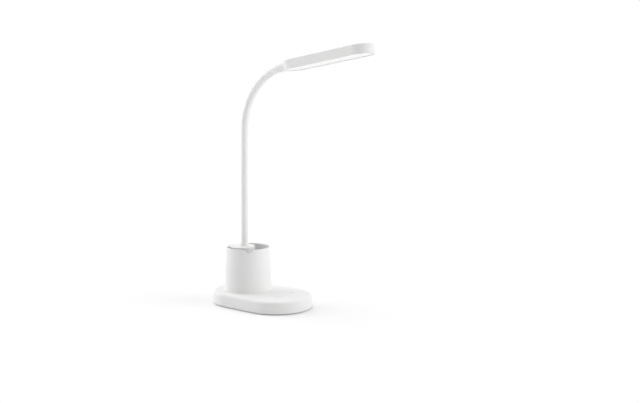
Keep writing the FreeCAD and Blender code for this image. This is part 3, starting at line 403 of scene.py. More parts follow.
def head_to_lamp(points):
    """From the head's own frame to the lamp's: tilt about Y, then move to the head's near end. The
    head's frame has X from the near end along the head, and Z out of its top."""
    tilt = shape().head_tilt
    along = np.array([math.cos(tilt), 0.0, math.sin(tilt)])
    upwards = np.array([-math.sin(tilt), 0.0, math.cos(tilt)])
    bend_end, _ = neck_axis(np.array([neck_length()]))
    near_end = bend_end[0] + along * shape().head_reach - upwards * shape().head_drop
    turned = points[..., :1] * along + points[..., 2:] * upwards
    turned[..., 1] += points[..., 1]
    return turned + near_end


# ---- The neck's axis ----

def neck_foot():
    """X and height at which the neck leaves the lid."""
    return middle_x("neck_foot"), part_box("neck_foot")[0].z


def neck_bend_height():
    """Height at which the upright part of the neck ends: the place of its seventh joint."""
    return next(joint["pos_m"][2] for joint in joints() if joint["name"] == "upper_bend")


def joints():
    """The neck's joints from the lid up."""
    return frame["record"]["behaviour"]["joints"]


def neck_length():
    """Length of the neck's axis from the lid to the end of its bend."""
    straight = neck_bend_height() - neck_foot()[1]
    return straight + shape().neck_bend_radius * (math.pi / 2 - shape().head_tilt)


def neck_axis(distance):
    """Points and directions of the neck's axis at distances from the lid: a straight rise, then an
    arc of the bend radius that leans over towards +X, and past the arc's end straight on."""
    foot_x, foot_z = neck_foot()
    radius = shape().neck_bend_radius
    straight = neck_bend_height() - foot_z
    whole_bend = math.pi / 2 - shape().head_tilt
    turn = np.clip((distance - straight) / radius, 0.0, whole_bend)
    rise = np.minimum(distance, straight)
    beyond = np.maximum(distance - neck_length(), 0.0)
    x = foot_x + radius * (1 - np.cos(turn)) + beyond * np.sin(turn)
    z = foot_z + rise + radius * np.sin(turn) + beyond * np.cos(turn)
    zeros = np.zeros_like(x)
    return np.stack([x, zeros, z], axis=-1), np.stack([np.sin(turn), zeros, np.cos(turn)], axis=-1)


def tube_rings(distance, radius, count=TUBE_AROUND):
    """Rings round the neck's axis: at each distance a circle of that distance's radius, spanned by
    the Y axis and the direction square to it and to the axis."""
    centre, direction = neck_axis(distance)
    side = np.array([0.0, 1.0, 0.0])
    upwards = np.cross(direction, side)
    turns = np.linspace(0, TURN, count, endpoint=False)[None, :, None]
    radius = np.broadcast_to(radius, distance.shape)[:, None, None]
    around = np.cos(turns) * upwards[:, None] + np.sin(turns) * side
    return centre[:, None] + radius * around


# ---- Materials ----

# The mix node's sockets for colours.
MIX_LOW, MIX_HIGH, MIX_RESULT = 6, 7, 2
PLASTIC_IOR = 1.46
GLOW_COLOUR = (1.0, 0.985, 0.95, 1.0)


def maths(tree, operation, first, second=0.0):
    """The result of a sum on two items, each a number or another node's output."""
    node = tree.nodes.new("ShaderNodeMath")
    node.operation = operation
    for socket, item in zip(node.inputs, (first, second)):
        if isinstance(item, (int, float)):
            socket.default_value = item
        else:
            tree.links.new(item, socket)
    return node.outputs["Value"]


def tone(colour_value, factor):
    """The colour made lighter or darker by a factor, kept below 1."""
    return tuple(min(1.0, channel * factor) for channel in colour_value)


class Nodes:
    """A material under construction, with short calls for the nodes that the finishes use."""

    def __init__(self, name):
        self.material = bpy.data.materials.new(name)
        self.material.use_nodes = True
        self.tree = self.material.node_tree
        self.shader = self.tree.nodes["Principled BSDF"]
        self.place = self.tree.nodes.new("ShaderNodeTexCoord").outputs["Object"]

    def add(self, kind, **settings):
        """A new node with these settings."""
        node = self.tree.nodes.new(kind)
        for name, value in settings.items():
            setattr(node, name, value)
        return node

    def link(self, source, socket):
        """Joins an output to an input."""
        self.tree.links.new(source, socket)

    def feed(self, name, source):
        """Drives an input of the shader."""
        self.link(source, self.shader.inputs[name])

    def noise(self, size, detail=2.0, roughness=0.5, stretch=None):
        """Soft random field whose lumps are about this large, stretched along an axis if asked."""
        node = self.add("ShaderNodeTexNoise")
        for socket, number in (("Scale", 1.0 / size), ("Detail", detail), ("Roughness", roughness)):
            node.inputs[socket].default_value = number
        place = self.place
        if stretch is not None:
            mapping = self.add("ShaderNodeMapping")
            mapping.inputs["Scale"].default_value = stretch
            self.link(place, mapping.inputs["Vector"])
            place = mapping.outputs["Vector"]
        self.link(place, node.inputs["Vector"])
        return node.outputs["Fac"]

    def span(self, source, low, high, start=0.3, end=0.7):
        """The source brought from start..end to low..high."""
        node = self.add("ShaderNodeMapRange")
        for socket, number in (("From Min", start), ("From Max", end), ("To Min", low), ("To Max", high)):
            node.inputs[socket].default_value = number
        self.link(source, node.inputs["Value"])
        return node.outputs["Result"]

    def patchy(self, size, low, high, detail=2.0, roughness=0.5):
        """Soft random patches of this size between low and high."""
        return self.span(self.noise(size, detail, roughness), low, high)

    def maths(self, operation, first, second=0.0):
        """The result of a sum on two items."""
        return maths(self.tree, operation, first, second)

    def paint(self, amount, base_colour, low, high):
        """Gives the shader a colour between two tones of the base colour."""
        node = self.add("ShaderNodeMix", data_type="RGBA")
        self.link(amount, node.inputs["Factor"])
        node.inputs[MIX_LOW].default_value = (*tone(base_colour, low), 1.0)
        node.inputs[MIX_HIGH].default_value = (*tone(base_colour, high), 1.0)
        self.feed("Base Color", node.outputs[MIX_RESULT])

    def bump(self, height, depth, strength):
        """Gives the shader a relief of this depth."""
        node = self.add("ShaderNodeBump")
        node.inputs["Strength"].default_value = strength
        node.inputs["Distance"].default_value = depth
        self.link(height, node.inputs["Height"])
        self.feed("Normal", node.outputs["Normal"])

    def worn_edges(self):
        """Nearly nought on flats and rising on outer edges, broken up by a soft random field."""
        geometry = self.add("ShaderNodeNewGeometry")
        edge = self.span(geometry.outputs["Pointiness"], 0.0, 1.0, 0.52, 0.60)
        return self.maths("MULTIPLY", edge, self.noise(0.006, 3.0))


def moulded_plastic(name, base_colour, roughness, grain, depth=0.00001, tint=0.008):
    """Moulded plastic: a fine even grain from the mould, faint broad flow marks in colour and gloss,
    and edges that handling has polished a little."""
    nodes = Nodes(name)
    nodes.paint(nodes.patchy(0.035, 0.0, 1.0, roughness=0.4), base_colour, 1 - tint, 1 + tint)
    smear = nodes.patchy(0.012, roughness - 0.035, roughness + 0.035, 3.0)
    polished = nodes.maths("SUBTRACT", smear, nodes.maths("MULTIPLY", nodes.worn_edges(), 0.10))
    nodes.feed("Roughness", polished)
    nodes.shader.inputs["IOR"].default_value = PLASTIC_IOR
    coarse = nodes.maths("MULTIPLY", nodes.noise(grain * 5, 2.0), 0.5)
    nodes.bump(nodes.maths("ADD", nodes.noise(grain, 1.5), coarse), depth, 0.35)
    return nodes.material


def opal_plastic(name, base_colour, glow):
    """Opal diffuser sheet: a milky colour, a light frosting, and a faint glow that is a little
    stronger down the middle, over the row of chips."""
    nodes = Nodes(name)
    nodes.paint(nodes.patchy(0.02, 0.0, 1.0), base_colour, 0.985, 1.0)
    nodes.feed("Roughness", nodes.patchy(0.004, 0.30, 0.40, 3.0))
    separate = nodes.add("ShaderNodeSeparateXYZ")
    nodes.link(nodes.place, separate.inputs["Vector"])
    off_middle = nodes.maths("ABSOLUTE", separate.outputs["Y"])
    nodes.feed("Emission Strength", nodes.span(off_middle, glow, glow * 0.82, 0.0, 0.02))
    nodes.shader.inputs["Emission Color"].default_value = GLOW_COLOUR
    nodes.bump(nodes.noise(0.0005, 1.0), 0.00001, 0.3)
    return nodes.material


def soft_rubber(name, base_colour, roughness=0.8):
    """Rubber or foam: matte, with a mealy surface and dusty patches."""
    nodes = Nodes(name)
    nodes.paint(nodes.patchy(0.004, 0.0, 1.0, 3.0), base_colour, 0.9, 1.1)
    nodes.feed("Roughness", nodes.patchy(0.001, roughness - 0.08, roughness + 0.08))
    nodes.bump(nodes.noise(0.0003, 2.0), 0.00006, 0.5)
    return nodes.material


def plated_steel(name, base_colour, roughness=0.32, stretch=(1.0, 1.0, 12.0)):
    """Plated or drawn metal: fine streaks along one axis in gloss and relief, and cloudy plating."""
    nodes = Nodes(name)
    nodes.shader.inputs["Metallic"].default_value = 1.0
    streaks = nodes.noise(0.0006, 3.0, stretch=stretch)
    nodes.paint(nodes.patchy(0.006, 0.0, 1.0, 3.0), base_colour, 0.92, 1.05)
    nodes.feed("Roughness", nodes.span(streaks, roughness - 0.08, roughness + 0.1))
    nodes.bump(streaks, 0.00001, 0.4)
    return nodes.material


def solder_mask(name, base_colour):
    """Lacquered circuit board: faint tracks show as ridges under a glossy mask."""
    nodes = Nodes(name)
    tracks = nodes.add("ShaderNodeTexVoronoi", distance="MANHATTAN", feature="DISTANCE_TO_EDGE")
    tracks.inputs["Scale"].default_value = 260.0
    nodes.link(nodes.place, tracks.inputs["Vector"])
    ridge = nodes.span(tracks.outputs["Distance"], 1.0, 0.0, 0.0, 0.12)
    nodes.paint(ridge, base_colour, 1.0, 1.5)
    nodes.feed("Roughness", nodes.patchy(0.003, 0.22, 0.34))
    nodes.bump(ridge, 0.00003, 0.5)
    return nodes.material


def build_finishes():
    """Every finish of the lamp by its slot name."""
    look = finish()
    return {
        "white_plastic": moulded_plastic("white_plastic", look.white, look.satin, look.grain),
        "neck_white": moulded_plastic("neck_white", look.sleeve, look.satin + 0.04, look.grain, 0.000006),
        "opal_diffuser": opal_plastic("opal_diffuser", look.opal, look.glow),
        "key_print": moulded_plastic("key_print", look.print_grey, 0.4, look.grain, 0.000008, 0.03),
        "foot_rubber": soft_rubber("foot_rubber", look.rubber),
        "foam": soft_rubber("foam", (0.05, 0.05, 0.052), 0.9),
        "lead_jacket": soft_rubber("lead_jacket", (0.7, 0.7, 0.7), 0.55),
        "steel": plated_steel("steel", (0.56, 0.57, 0.58)),
        "screw_steel": plated_steel("screw_steel", (0.50, 0.51, 0.53), 0.28, (1.0, 6.0, 1.0)),
        "socket_steel": plated_steel("socket_steel", (0.62, 0.63, 0.64), 0.25, (1.0, 10.0, 1.0)),
        "battery_wrap": moulded_plastic("battery_wrap", (0.44, 0.47, 0.51), 0.3, 0.0008, 0.00003, 0.05),
        "circuit_board": solder_mask("circuit_board", (0.012, 0.09, 0.035)),
        "black_plastic": moulded_plastic("black_plastic", (0.012, 0.012, 0.013), 0.5, 0.0003, 0.00002, 0.1),
        "light_board_aluminium": solder_mask("light_board_aluminium", (0.75, 0.75, 0.75)),
        "phosphor": soft_rubber("phosphor", (0.8, 0.58, 0.15), 0.5),
        "reflector_white": moulded_plastic("reflector_white", (0.88, 0.88, 0.88), 0.25, 0.0005, 0.00001),
    }


FINISHES = {}


# ---- Base ----

# The inlet leaves out a rectangle of the skin's grid, which takes in some rows of the rounded edge.
PORT_COLUMNS = 12
PORT_ROWS = 11
OUTER_LEAD = 5
INNER_LEAD = 3

# Points put into the outer side, the inner side and each straight side, and how far from the ends'
# centres the innermost ring stands.
OUTER_SIDE_POINTS = 10
INNER_SIDE_POINTS = 16
STRAIGHT_POINTS = 50
BASE_CORE = 0.002

# Width of the inlet's softened edges, the part of it at which their middle loop stands, and how far
# from the rectangle to the recess the loops on the base's side stand.
INLET_SOFT = 0.00025
INLET_PART = 0.3
FACE_WAYS = (0.35, 0.7)

# A printed line's section, in shares of its width, and how far it reaches down into the base.
PRINT_SECTION = (-0.5, -0.4, 0.4, 0.5)
PRINT_SUNK = 0.00002

# The marks, in shares of their radius.
POWER_OPENING = math.radians(32)
POWER_BAR = (0.25, 1.15)
SUN_DISC = 0.45
SUN_RAY = (0.72, 1.1)
SUN_RAYS = 8


def frame_loop(rows, columns, count):
    """Indices of the points round the edge of a rectangle of a grid with `count` points in a row."""
    return np.concatenate([
        rows[0] * count + columns,
        rows[1:] * count + columns[-1],
        rows[-1] * count + columns[-2::-1],
        rows[-2:0:-1] * count + columns[0],
    ])


def base_skin():
    """The base shell: a profile carried round a slot, from the middle of the top over the rounded
    edge, down the leaning side and up inside to the roof. In the far long side a rectangle of the
    outer and of the inner grid is left out, and a tube of loops joins the two: the inlet."""
    low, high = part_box("base_shell")
    size = shape()
    radius = size.base_width / 2
    half = (size.base_length - size.base_width) / 2
    roof = high.z - size.base_wall
    inner = size.base_draft + size.base_wall
    core = radius - BASE_CORE
    outline = profile((
        (core, high.z, 0.0),
        (size.base_draft, high.z, size.base_round),
        (0.0, low.z, size.skirt_round),
        (inner, low.z, size.skirt_round),
        (inner, roof, size.base_round - size.base_wall),
        (core, roof, 0.0),
    ), steps=12)
    rise = int(np.argmax(np.diff(outline[:, 1])))
    outline = divided(outline, rise, INNER_SIDE_POINTS)
    fall = int(np.argmin(np.diff(outline[:, 1])))
    outline = divided(outline, fall, OUTER_SIDE_POINTS)
    side = slice(1, fall + OUTER_SIDE_POINTS + 2)
    rings = slot_rings(half, radius, outline, straight=STRAIGHT_POINTS)
    rows, count = rings.shape[:2]
    points, quads, lids = closed_loops(rings)

    far_side = AROUND // 2 + np.arange(STRAIGHT_POINTS)
    middle = far_side[np.argmin(np.abs(rings[0, far_side, 0] - size.port_x))]
    columns = middle + np.arange(-(PORT_COLUMNS // 2), PORT_COLUMNS // 2 + 1)
    outer_rows = fall - OUTER_LEAD + np.arange(PORT_ROWS + 1)
    inner_top = int(np.argmax(outline[:, 1] * np.isclose(outline[:, 0], inner, rtol=0.0, atol=1e-6)))
    inner_rows = inner_top + INNER_LEAD - np.arange(PORT_ROWS + 1)
    row, column = np.divmod(np.arange(len(quads)), count)
    in_columns = (column >= columns[0]) & (column < columns[-1])
    in_outer = (row >= outer_rows[0]) & (row < outer_rows[-1])
    in_inner = (row >= inner_rows[-1]) & (row < inner_rows[0])
    quads = quads[~(in_columns & (in_outer | in_inner))]

    outer_loop = frame_loop(outer_rows, columns, count)
    inner_loop = frame_loop(inner_rows, columns, count)
    insets, heights = outline[side][::-1].T
    tube = inlet_loops(points[outer_loop], lambda height: radius - np.interp(height, heights, insets))
    new = len(points) + np.arange(len(tube) * len(outer_loop)).reshape(len(tube), -1)
    index = np.concatenate([outer_loop[None], new, inner_loop[None]])
    following = np.roll(index, -1, axis=1)
    walls = np.stack([index[:-1], following[:-1], following[1:], index[1:]], axis=-1).reshape(-1, 4)
    return only_used(np.concatenate([points, tube.reshape(-1, 3)]), np.concatenate([quads, walls]), lids)


def inlet_loops(edge, face_y):
    """Loops of the inlet from the outer face inwards. Each has the directions of the edge's points
    from the inlet's middle: on the face towards the recess, over its softened edge, down to its
    floor, in to the opening, over its edge and through to the inner face."""
    size = shape()
    middle = np.array([size.port_x, size.port_z])
    edge = edge[:, [0, 2]] - middle
    turns = np.arctan2(edge[:, 1], edge[:, 0])
    soft, part = INLET_SOFT, INLET_SOFT * INLET_PART
    floor_y = size.base_width / 2 - size.recess_floor
    inner_y = size.base_width / 2 - size.base_draft - size.base_wall

    def recess(grown):
        return slot_edge(turns, size.recess_width + 2 * grown, size.recess_tall + 2 * grown)

    def opening(grown):
        return slot_edge(turns, size.port_width + 2 * grown, size.port_tall + 2 * grown)

    mouth = recess(soft)
    outlines = np.stack([
        *(edge * (1 - way) + mouth * way for way in FACE_WAYS), mouth,
        recess(part), recess(0.0), recess(0.0),
        opening(soft), opening(part), opening(0.0), opening(0.0), opening(soft),
    ]) + middle
    sunk = np.array([0.0, 0.0, 0.0, part, soft])[:, None]
    on_face = face_y(outlines[:len(sunk), :, 1]) - sunk
    flat = np.array([floor_y, floor_y, floor_y - part, floor_y - soft, inner_y + soft, inner_y])
    inside = np.broadcast_to(flat[:, None], (len(flat), len(turns)))
    y = np.concatenate([on_face, inside])
    return np.stack([outlines[..., 0], y, outlines[..., 1]], axis=-1)


def printed_line(path):
    """A printed line: a flat four-sided profile, wide and very thin, carried along a path that lies
    on the base's top and is given by its points."""
    _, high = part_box("base_shell")
    size = shape()
    ahead = np.gradient(path, axis=0)
    ahead /= np.linalg.norm(ahead, axis=1)[:, None]
    sideways = np.stack([-ahead[:, 1], ahead[:, 0]], axis=-1)
    across = np.array(PRINT_SECTION)[None, :, None] * size.print_width
    raised = np.array([-PRINT_SUNK, size.print_thick, size.print_thick, -PRINT_SUNK]) + high.z
    flat = path[:, None] + sideways[:, None] * across
    upright = np.broadcast_to(raised[None, :, None], (*flat.shape[:2], 1))
    return closed_loops(np.concatenate([flat, upright], axis=-1))


def arc_path(centre, radius, start, sweep):
    """Points of an arc on the plan: radius times the cosine and sine of evenly spaced directions."""
    turns = np.linspace(start, start + sweep, 48)
    return np.asarray(centre) + radius * np.stack([np.cos(turns), np.sin(turns)], axis=-1)


def bar_path(centre, turn, radius, reach):
    """Points of a straight bar on the plan that points away from a centre. Its two ends are given in
    shares of the radius."""
    near, far = reach
    along = np.linspace(radius * near, radius * far, 4)[:, None]
    return np.asarray(centre) + along * np.array([[math.cos(turn), math.sin(turn)]])


def power_mark():
    """The switch's mark: a circle open at its far side, with a short bar in the opening."""
    size = shape()
    centre, radius, facing = size.power_key, size.mark_radius, size.mark_turn
    ring = arc_path(centre, radius, facing + POWER_OPENING, TURN - 2 * POWER_OPENING)
    return joined([printed_line(ring), printed_line(bar_path(centre, facing, radius, POWER_BAR))])


def dimmer_mark():
    """The dimmer's mark: a small circle with rays."""
    size = shape()
    centre, radius, facing = size.dimmer_key, size.mark_radius, size.mark_turn
    ring = arc_path(centre, radius * SUN_DISC, facing, TURN)
    rays = [bar_path(centre, facing + step * TURN / SUN_RAYS, radius, SUN_RAY) for step in range(SUN_RAYS)]
    return joined([printed_line(path) for path in (ring, *rays)])


class LAMP_OT_base(bpy.types.Operator):
    """Build the base shell's skin and the printed marks of its touch keys"""
    bl_idname = "lamp.base"
    bl_label = "Base"

    def execute(self, context):
        add_white("base_skin", base_skin(), BASE, "base_shell")
        for name, skin in (("power_key_mark", power_mark()), ("dimmer_key_mark", dimmer_mark())):
            add_piece(name, skin, FINISHES["key_print"], BASE)
        return {"FINISHED"}


# ---- Cup, tower and lid ----

# How far the notch's corners are eased, the degrees over which the end of a web fades, and the extra
# directions of the cup's columns there, in degrees from that end.
NOTCH_EASE = 0.0004
WEB_END = 2.2
WEB_TURNS = np.linspace(-2.2, 2.4, 14)

# The cup's flared foot: its lip's height, the roundings of the lip's edges and of the corner above
# it, and how far up the cone its profile reaches. Then the fillet inside, round the cup's floor, the
# underside's width inside the foot, and the innermost ring of the floor.
CUP_LIP = 0.0005
LIP_ROUNDS = (0.0001, 0.00012, 0.0008)
FLARE_RISE = 0.010
CUP_FILLET = 0.0025
CUP_UNDER_EDGE = 0.004
CUP_FLOOR_CORE = 0.020

# The softened edge of a web's top: shares of the way in from the wall, and the drop there.
WEB_WAYS = (0.0, 0.93, 0.98, 1.0)
WEB_DROPS = (0.0, 0.00002, 0.00008, 0.00030)

# The innermost ring of the tower, the lid's thickness and the flat inside its edge, and the collar's
# lower edge, the wall of its sleeve and the rounding that sweeps up to it.
TOWER_CORE = 0.004
LID_THICK = 0.0026
LID_MARGIN = 0.003
COLLAR_EDGE = 0.0005
COLLAR_WALL = 0.0005
COLLAR_SWEEP = 0.0019


def notch_height(turns, radius, high):
    """Height of the cup's rim by direction: level, but in the notch a trapezoid with soft corners.
    The dip is a straight flank between two levels, each corner eased by a smooth minimum."""
    size = shape()
    sideways = np.abs(radius * np.sin((turns - size.notch_turn + math.pi) % TURN - math.pi))
    facing = np.cos(turns - size.notch_turn) > 0
    flank = (size.notch_wide / 2 - sideways) / ((size.notch_wide - size.notch_narrow) / 2) * size.notch_deep
    eased_low = (flank + np.sqrt(flank ** 2 + NOTCH_EASE ** 2)) / 2
    rest = size.notch_deep - eased_low
    dip = size.notch_deep - (rest + np.sqrt(rest ** 2 + NOTCH_EASE ** 2)) / 2
    return high - np.where(facing, dip, 0.0)


def cup_turns():
    """Directions of the cup's columns: even, with more of them where the webs end."""
    even = np.linspace(0, TURN, AROUND * 2, endpoint=False)
    ends = shape().web_reach + np.radians(WEB_TURNS)
    return np.unique(np.concatenate([even, math.pi - ends, math.pi + ends]))


def cup_bore(turns, wall):
    """Radius of the cup's inside by direction. It is the wall's, but near the back the webs bring it
    in to a circle round the tower: the far crossing of that direction with the circle. Each web ends
    in a quarter ellipse that runs out along the wall."""
    size = shape()
    shift = middle_x("pen_cup") - middle_x("tower")
    clear = size.lid_radius + CLEARANCE
    off_back = np.abs(turns - math.pi)
    inside = np.maximum(clear ** 2 - (shift * np.sin(off_back)) ** 2, 0.0)
    circle = shift * np.cos(off_back) + np.sqrt(inside)
    end = np.clip((off_back - size.web_reach) / math.radians(WEB_END) * 0.5 + 0.5, 0.0, 1.0)
    filled = 1 - np.sqrt(1 - (1 - end) ** 2)
    return wall - filled * np.maximum(wall - circle, 0.0)


def cup_skin():
    """The pen cup: round an upright axis, up the outer cone from the flared foot, over the rounded
    rim, over the webs beside the tower, down inside and across the floor. The rim's height dips in
    the notch."""
    low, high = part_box("pen_cup")
    size = shape()
    turns = cup_turns()
    rim_z = notch_height(turns, size.cup_rim, high.z)
    floor_z = low.z + size.cup_floor
    slope_out = (size.cup_rim - size.cup_foot) / (high.z - low.z)
    foot_inner = size.cup_foot - size.cup_foot_wall
    slope_in = (size.cup_rim - size.cup_rim_wall - foot_inner) / (high.z - floor_z)
    edge = size.cup_rim_round
    lip_x, lip_z = size.cup_foot + size.cup_flange, low.z + CUP_LIP
    flare_top = low.z + FLARE_RISE
    bend_z = floor_z + CUP_FILLET

    def rows(radius, height):
        """Rows of radius and height, one entry for each direction."""
        full = np.broadcast_shapes(np.shape(radius), np.shape(height), (1, len(turns)))
        return np.stack([np.broadcast_to(radius, full), np.broadcast_to(height, full)])

    def outer(height):
        return size.cup_foot + slope_out * (height - low.z)

    def inner(height):
        return foot_inner + slope_in * (height - floor_z)

    flare = profile((
        (size.cup_foot, low.z, 0.0),
        (lip_x, low.z, LIP_ROUNDS[0]),
        (lip_x, lip_z, LIP_ROUNDS[1]),
        (outer(lip_z), lip_z, LIP_ROUNDS[2]),
        (outer(flare_top), flare_top, 0.0),
    ), FINE_MARGIN)
    up = np.linspace(0, 1, 24)[1:, None]
    outside = flare_top + up * (rim_z - edge - flare_top)
    roll = np.linspace(0, math.pi / 2, 7)[1:, None]
    back = np.linspace(math.pi / 2, 0, 7)[:, None]
    web_top = rim_z - size.web_drop
    wall_there = inner(web_top)
    web_in = np.array(WEB_WAYS)[:, None]
    web_down = np.array(WEB_DROPS)[:, None]
    down = np.linspace(0, 1, 16)[1:, None]
    below = web_top - web_down[-1] + down * (bend_z - web_top + web_down[-1])
    turn_in = np.linspace(0, math.pi / 2, 9)[1:, None]
    foot_bore = cup_bore(turns, inner(bend_z))
    radius, height = np.concatenate([
        rows(foot_inner - CUP_UNDER_EDGE, low.z),
        rows(flare[:, :1], flare[:, 1:]),
        rows(outer(outside), outside),
        rows(outer(rim_z) - edge * (1 - np.cos(roll)), rim_z - edge * (1 - np.sin(roll))),
        rows(inner(rim_z) + edge * (1 - np.cos(back)), rim_z - edge * (1 - np.sin(back))),
        rows(wall_there - web_in * (wall_there - cup_bore(turns, wall_there)), web_top - web_down),
        rows(cup_bore(turns, inner(below)), below),
        rows(foot_bore - CUP_FILLET * (1 - np.cos(turn_in)), floor_z + CUP_FILLET * (1 - np.sin(turn_in))),
        rows(CUP_FLOOR_CORE, floor_z),
    ], axis=1)
    x = middle_x("pen_cup") + radius * np.cos(turns)
    return closed_loops(np.stack([x, radius * np.sin(turns), height], axis=-1))


def tower_skin():
    """The tower: a closed cylinder round an upright axis, with rounded edges."""
    low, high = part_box("tower")
    outline = profile((
        (TOWER_CORE, low.z, 0.0),
        (shape().tower_radius, low.z, 0.0003),
        (shape().tower_radius, high.z, 0.0002),
        (TOWER_CORE, high.z, 0.0),
    ))
    return closed_loops(turned_rings(outline, middle_x("tower")))


def lid_skin():
    """The lid: a disc with a rounded upper edge and an off-centre hole for the neck's stud. Between
    the disc's flat and the hole each ring is a mix of the outer circle and the hole's circle."""
    _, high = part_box("tower_cap")
    size = shape()
    foot_x, _ = neck_foot()
    stud_low, stud_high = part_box("neck_stud")
    hole_radius = (stud_high.y - stud_low.y) / 2 + CLEARANCE
    under = high.z - LID_THICK
    edge = profile((
        (size.lid_radius - LID_MARGIN, under, 0.0),
        (size.lid_radius, under, 0.0002),
        (size.lid_radius, high.z, size.lid_round),
        (size.lid_radius - LID_MARGIN, high.z, 0.0),
    ), SMALL_MARGIN)
    rings = turned_rings(edge, middle_x("tower_cap"))
    turns = np.linspace(0, TURN, AROUND, endpoint=False)
    hole = np.stack([foot_x + hole_radius * np.cos(turns), hole_radius * np.sin(turns)], axis=-1)
    top_hole = np.concatenate([hole, np.full((AROUND, 1), high.z)], axis=-1)
    under_hole = np.concatenate([hole, np.full((AROUND, 1), under)], axis=-1)
    return ring_loops(np.concatenate([rings, top_hole[None], under_hole[None]]))


def collar_skin():
    """The neck's collar: a ring whose outer side sweeps in a concave quarter from the lid up to a
    short sleeve round the neck."""
    low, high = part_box("neck_collar")
    size = shape()
    foot_x, _ = neck_foot()
    inner = size.neck_radius + CLEARANCE
    sleeve = size.neck_radius + COLLAR_WALL
    spread = size.neck_radius + size.collar_flare
    outline = profile((
        (inner, low.z, 0.0),
        (spread, low.z, 0.00005),
        (spread, low.z + COLLAR_EDGE, 0.0002),
        (sleeve, low.z + COLLAR_EDGE, COLLAR_SWEEP),
        (sleeve, high.z, 0.0003),
        (inner, high.z, 0.0),
    ), FINE_MARGIN)
    return ring_loops(turned_rings(outline, foot_x, RING_AROUND))


class LAMP_OT_cup(bpy.types.Operator):
    """Build the pen cup, the tower in it, the tower's lid and the neck's collar"""
    bl_idname = "lamp.cup"
    bl_label = "Pen cup and tower"

    def execute(self, context):
        add_white("pen_cup_skin", cup_skin(), BASE, "pen_cup")
        add_white("tower_skin", tower_skin(), BASE, "tower")
        add_white("tower_lid", lid_skin(), BASE, "tower_cap")
        add_white("neck_collar_ring", collar_skin(), BASE, "neck_collar")
        return {"FINISHED"}


# ---- Neck ----

def joint_distances():
    """How far along the neck's axis each joint lies, from the lid up."""
    foot_x, foot_z = neck_foot()
    straight = neck_bend_height() - foot_z
    radius = shape().neck_bend_radius
    distances = []
    for joint in joints():
        x, _, z = joint["pos_m"]
        turn = math.atan2(z - neck_bend_height(), foot_x + radius - x)
        distances.append(z - foot_z if turn <= 0 else straight + radius * turn)
    return distances


# Longest step between the rings of the neck's sleeve, and the least number of its rings.
SLEEVE_STEP = 0.0012
SLEEVE_RINGS = 8


def sleeve_skin(start, end):
    """One stretch of the neck's sleeve: a circle carried along the neck's axis, closed at both ends."""
    distance = np.linspace(start, end, max(SLEEVE_RINGS, int((end - start) / SLEEVE_STEP)))
    return closed_loops(tube_rings(distance, shape().neck_radius))


class LAMP_OT_neck(bpy.types.Operator):
    """Build the neck's sleeve in stretches, one round each joint"""
    bl_idname = "lamp.neck"
    bl_label = "Gooseneck"

    def execute(self, context):
        distances = joint_distances()
        middles = [(first + second) / 2 for first, second in zip(distances, distances[1:])]
        half = (distances[1] - distances[0]) / 2
        starts = [0.0, *middles]
        ends = [*middles, neck_length()]
        nodes = ["neck_foot", *(f"neck_link_{number:02d}" for number in range(1, len(distances)))]
        for number, (joint, start, end) in enumerate(zip(joints(), starts, ends)):
            replaced = [nodes[number]] + (["neck_tip"] if number == len(distances) - 1 else [])
            name, skin = f"neck_sleeve_{number + 1:02d}", sleeve_skin(start, end)
            piece = add_piece(name, skin, FINISHES["neck_white"], None, replaced)
            here = distances[number]
            bend_start, bend_end = neck_axis(np.array([here - half, here + half]))[0]
            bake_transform(piece)
        return {"FINISHED"}


# ---- Head ----

# How far from the ends' centres the innermost ring stands, the width of the diffuser's ledge, the top
# wall, and the gap round the diffuser.
HEAD_CORE = 0.001
HEAD_LEDGE = 0.002
HEAD_ROOF = 0.0022
DIFFUSER_GAP = 0.0001

# The sleeve between neck and head: its wall inside the neck's radius, its softened mouth, how far its
# bore runs in, how far it runs into the head, and its number of rings.
FERRULE_BITE = 0.0005
FERRULE_SOFT = 0.0003
FERRULE_BORE = 0.004
FERRULE_SEAT = 0.002
FERRULE_RINGS = 24


def slot_skin(corners, margin):
    """A closed skin round the head's slot through (inset, height, rounding) corners in the head's own
    frame. It starts and ends on the innermost ring, at the heights of the first and last corner."""
    size = shape()
    half = (size.head_length - size.head_width) / 2
    rings = slot_rings(half, size.head_width / 2, profile(corners, margin), size.head_length / 2)
    return closed_loops(head_to_lamp(rings))


def housing_skin():
    """The head's housing: a profile carried round a slot, over the top and its rounded edge, down the
    side, round the rim, up to the ledge, in over it and up to the roof inside."""
    size = shape()
    top = size.head_thick / 2
    ledge = -top + size.diffuser_recess + size.diffuser_thick
    inner = size.head_wall + HEAD_LEDGE
    middle = size.head_width / 2 - HEAD_CORE
    return slot_skin((
        (middle, top, 0.0),
        (0.0, top, size.head_round),
        (0.0, -top, size.head_rim_round),
        (size.head_wall, -top, 0.0003),
        (size.head_wall, ledge, 0.0),
        (inner, ledge, 0.0002),
        (inner, top - HEAD_ROOF, 0.0005),
        (middle, top - HEAD_ROOF, 0.0),
    ), 2 * SMALL_MARGIN)


def diffuser_skin():
    """The diffuser: a slot-shaped sheet with softened edges, recessed in the head's rim."""
    size = shape()
    under = -size.head_thick / 2 + size.diffuser_recess
    inset = size.head_wall + DIFFUSER_GAP
    middle = size.head_width / 2 - HEAD_CORE
    return slot_skin((
        (middle, under, 0.0),
        (inset, under, 0.0003),
        (inset, under + size.diffuser_thick, 0.0001),
        (middle, under + size.diffuser_thick, 0.0),
    ), SMALL_MARGIN)


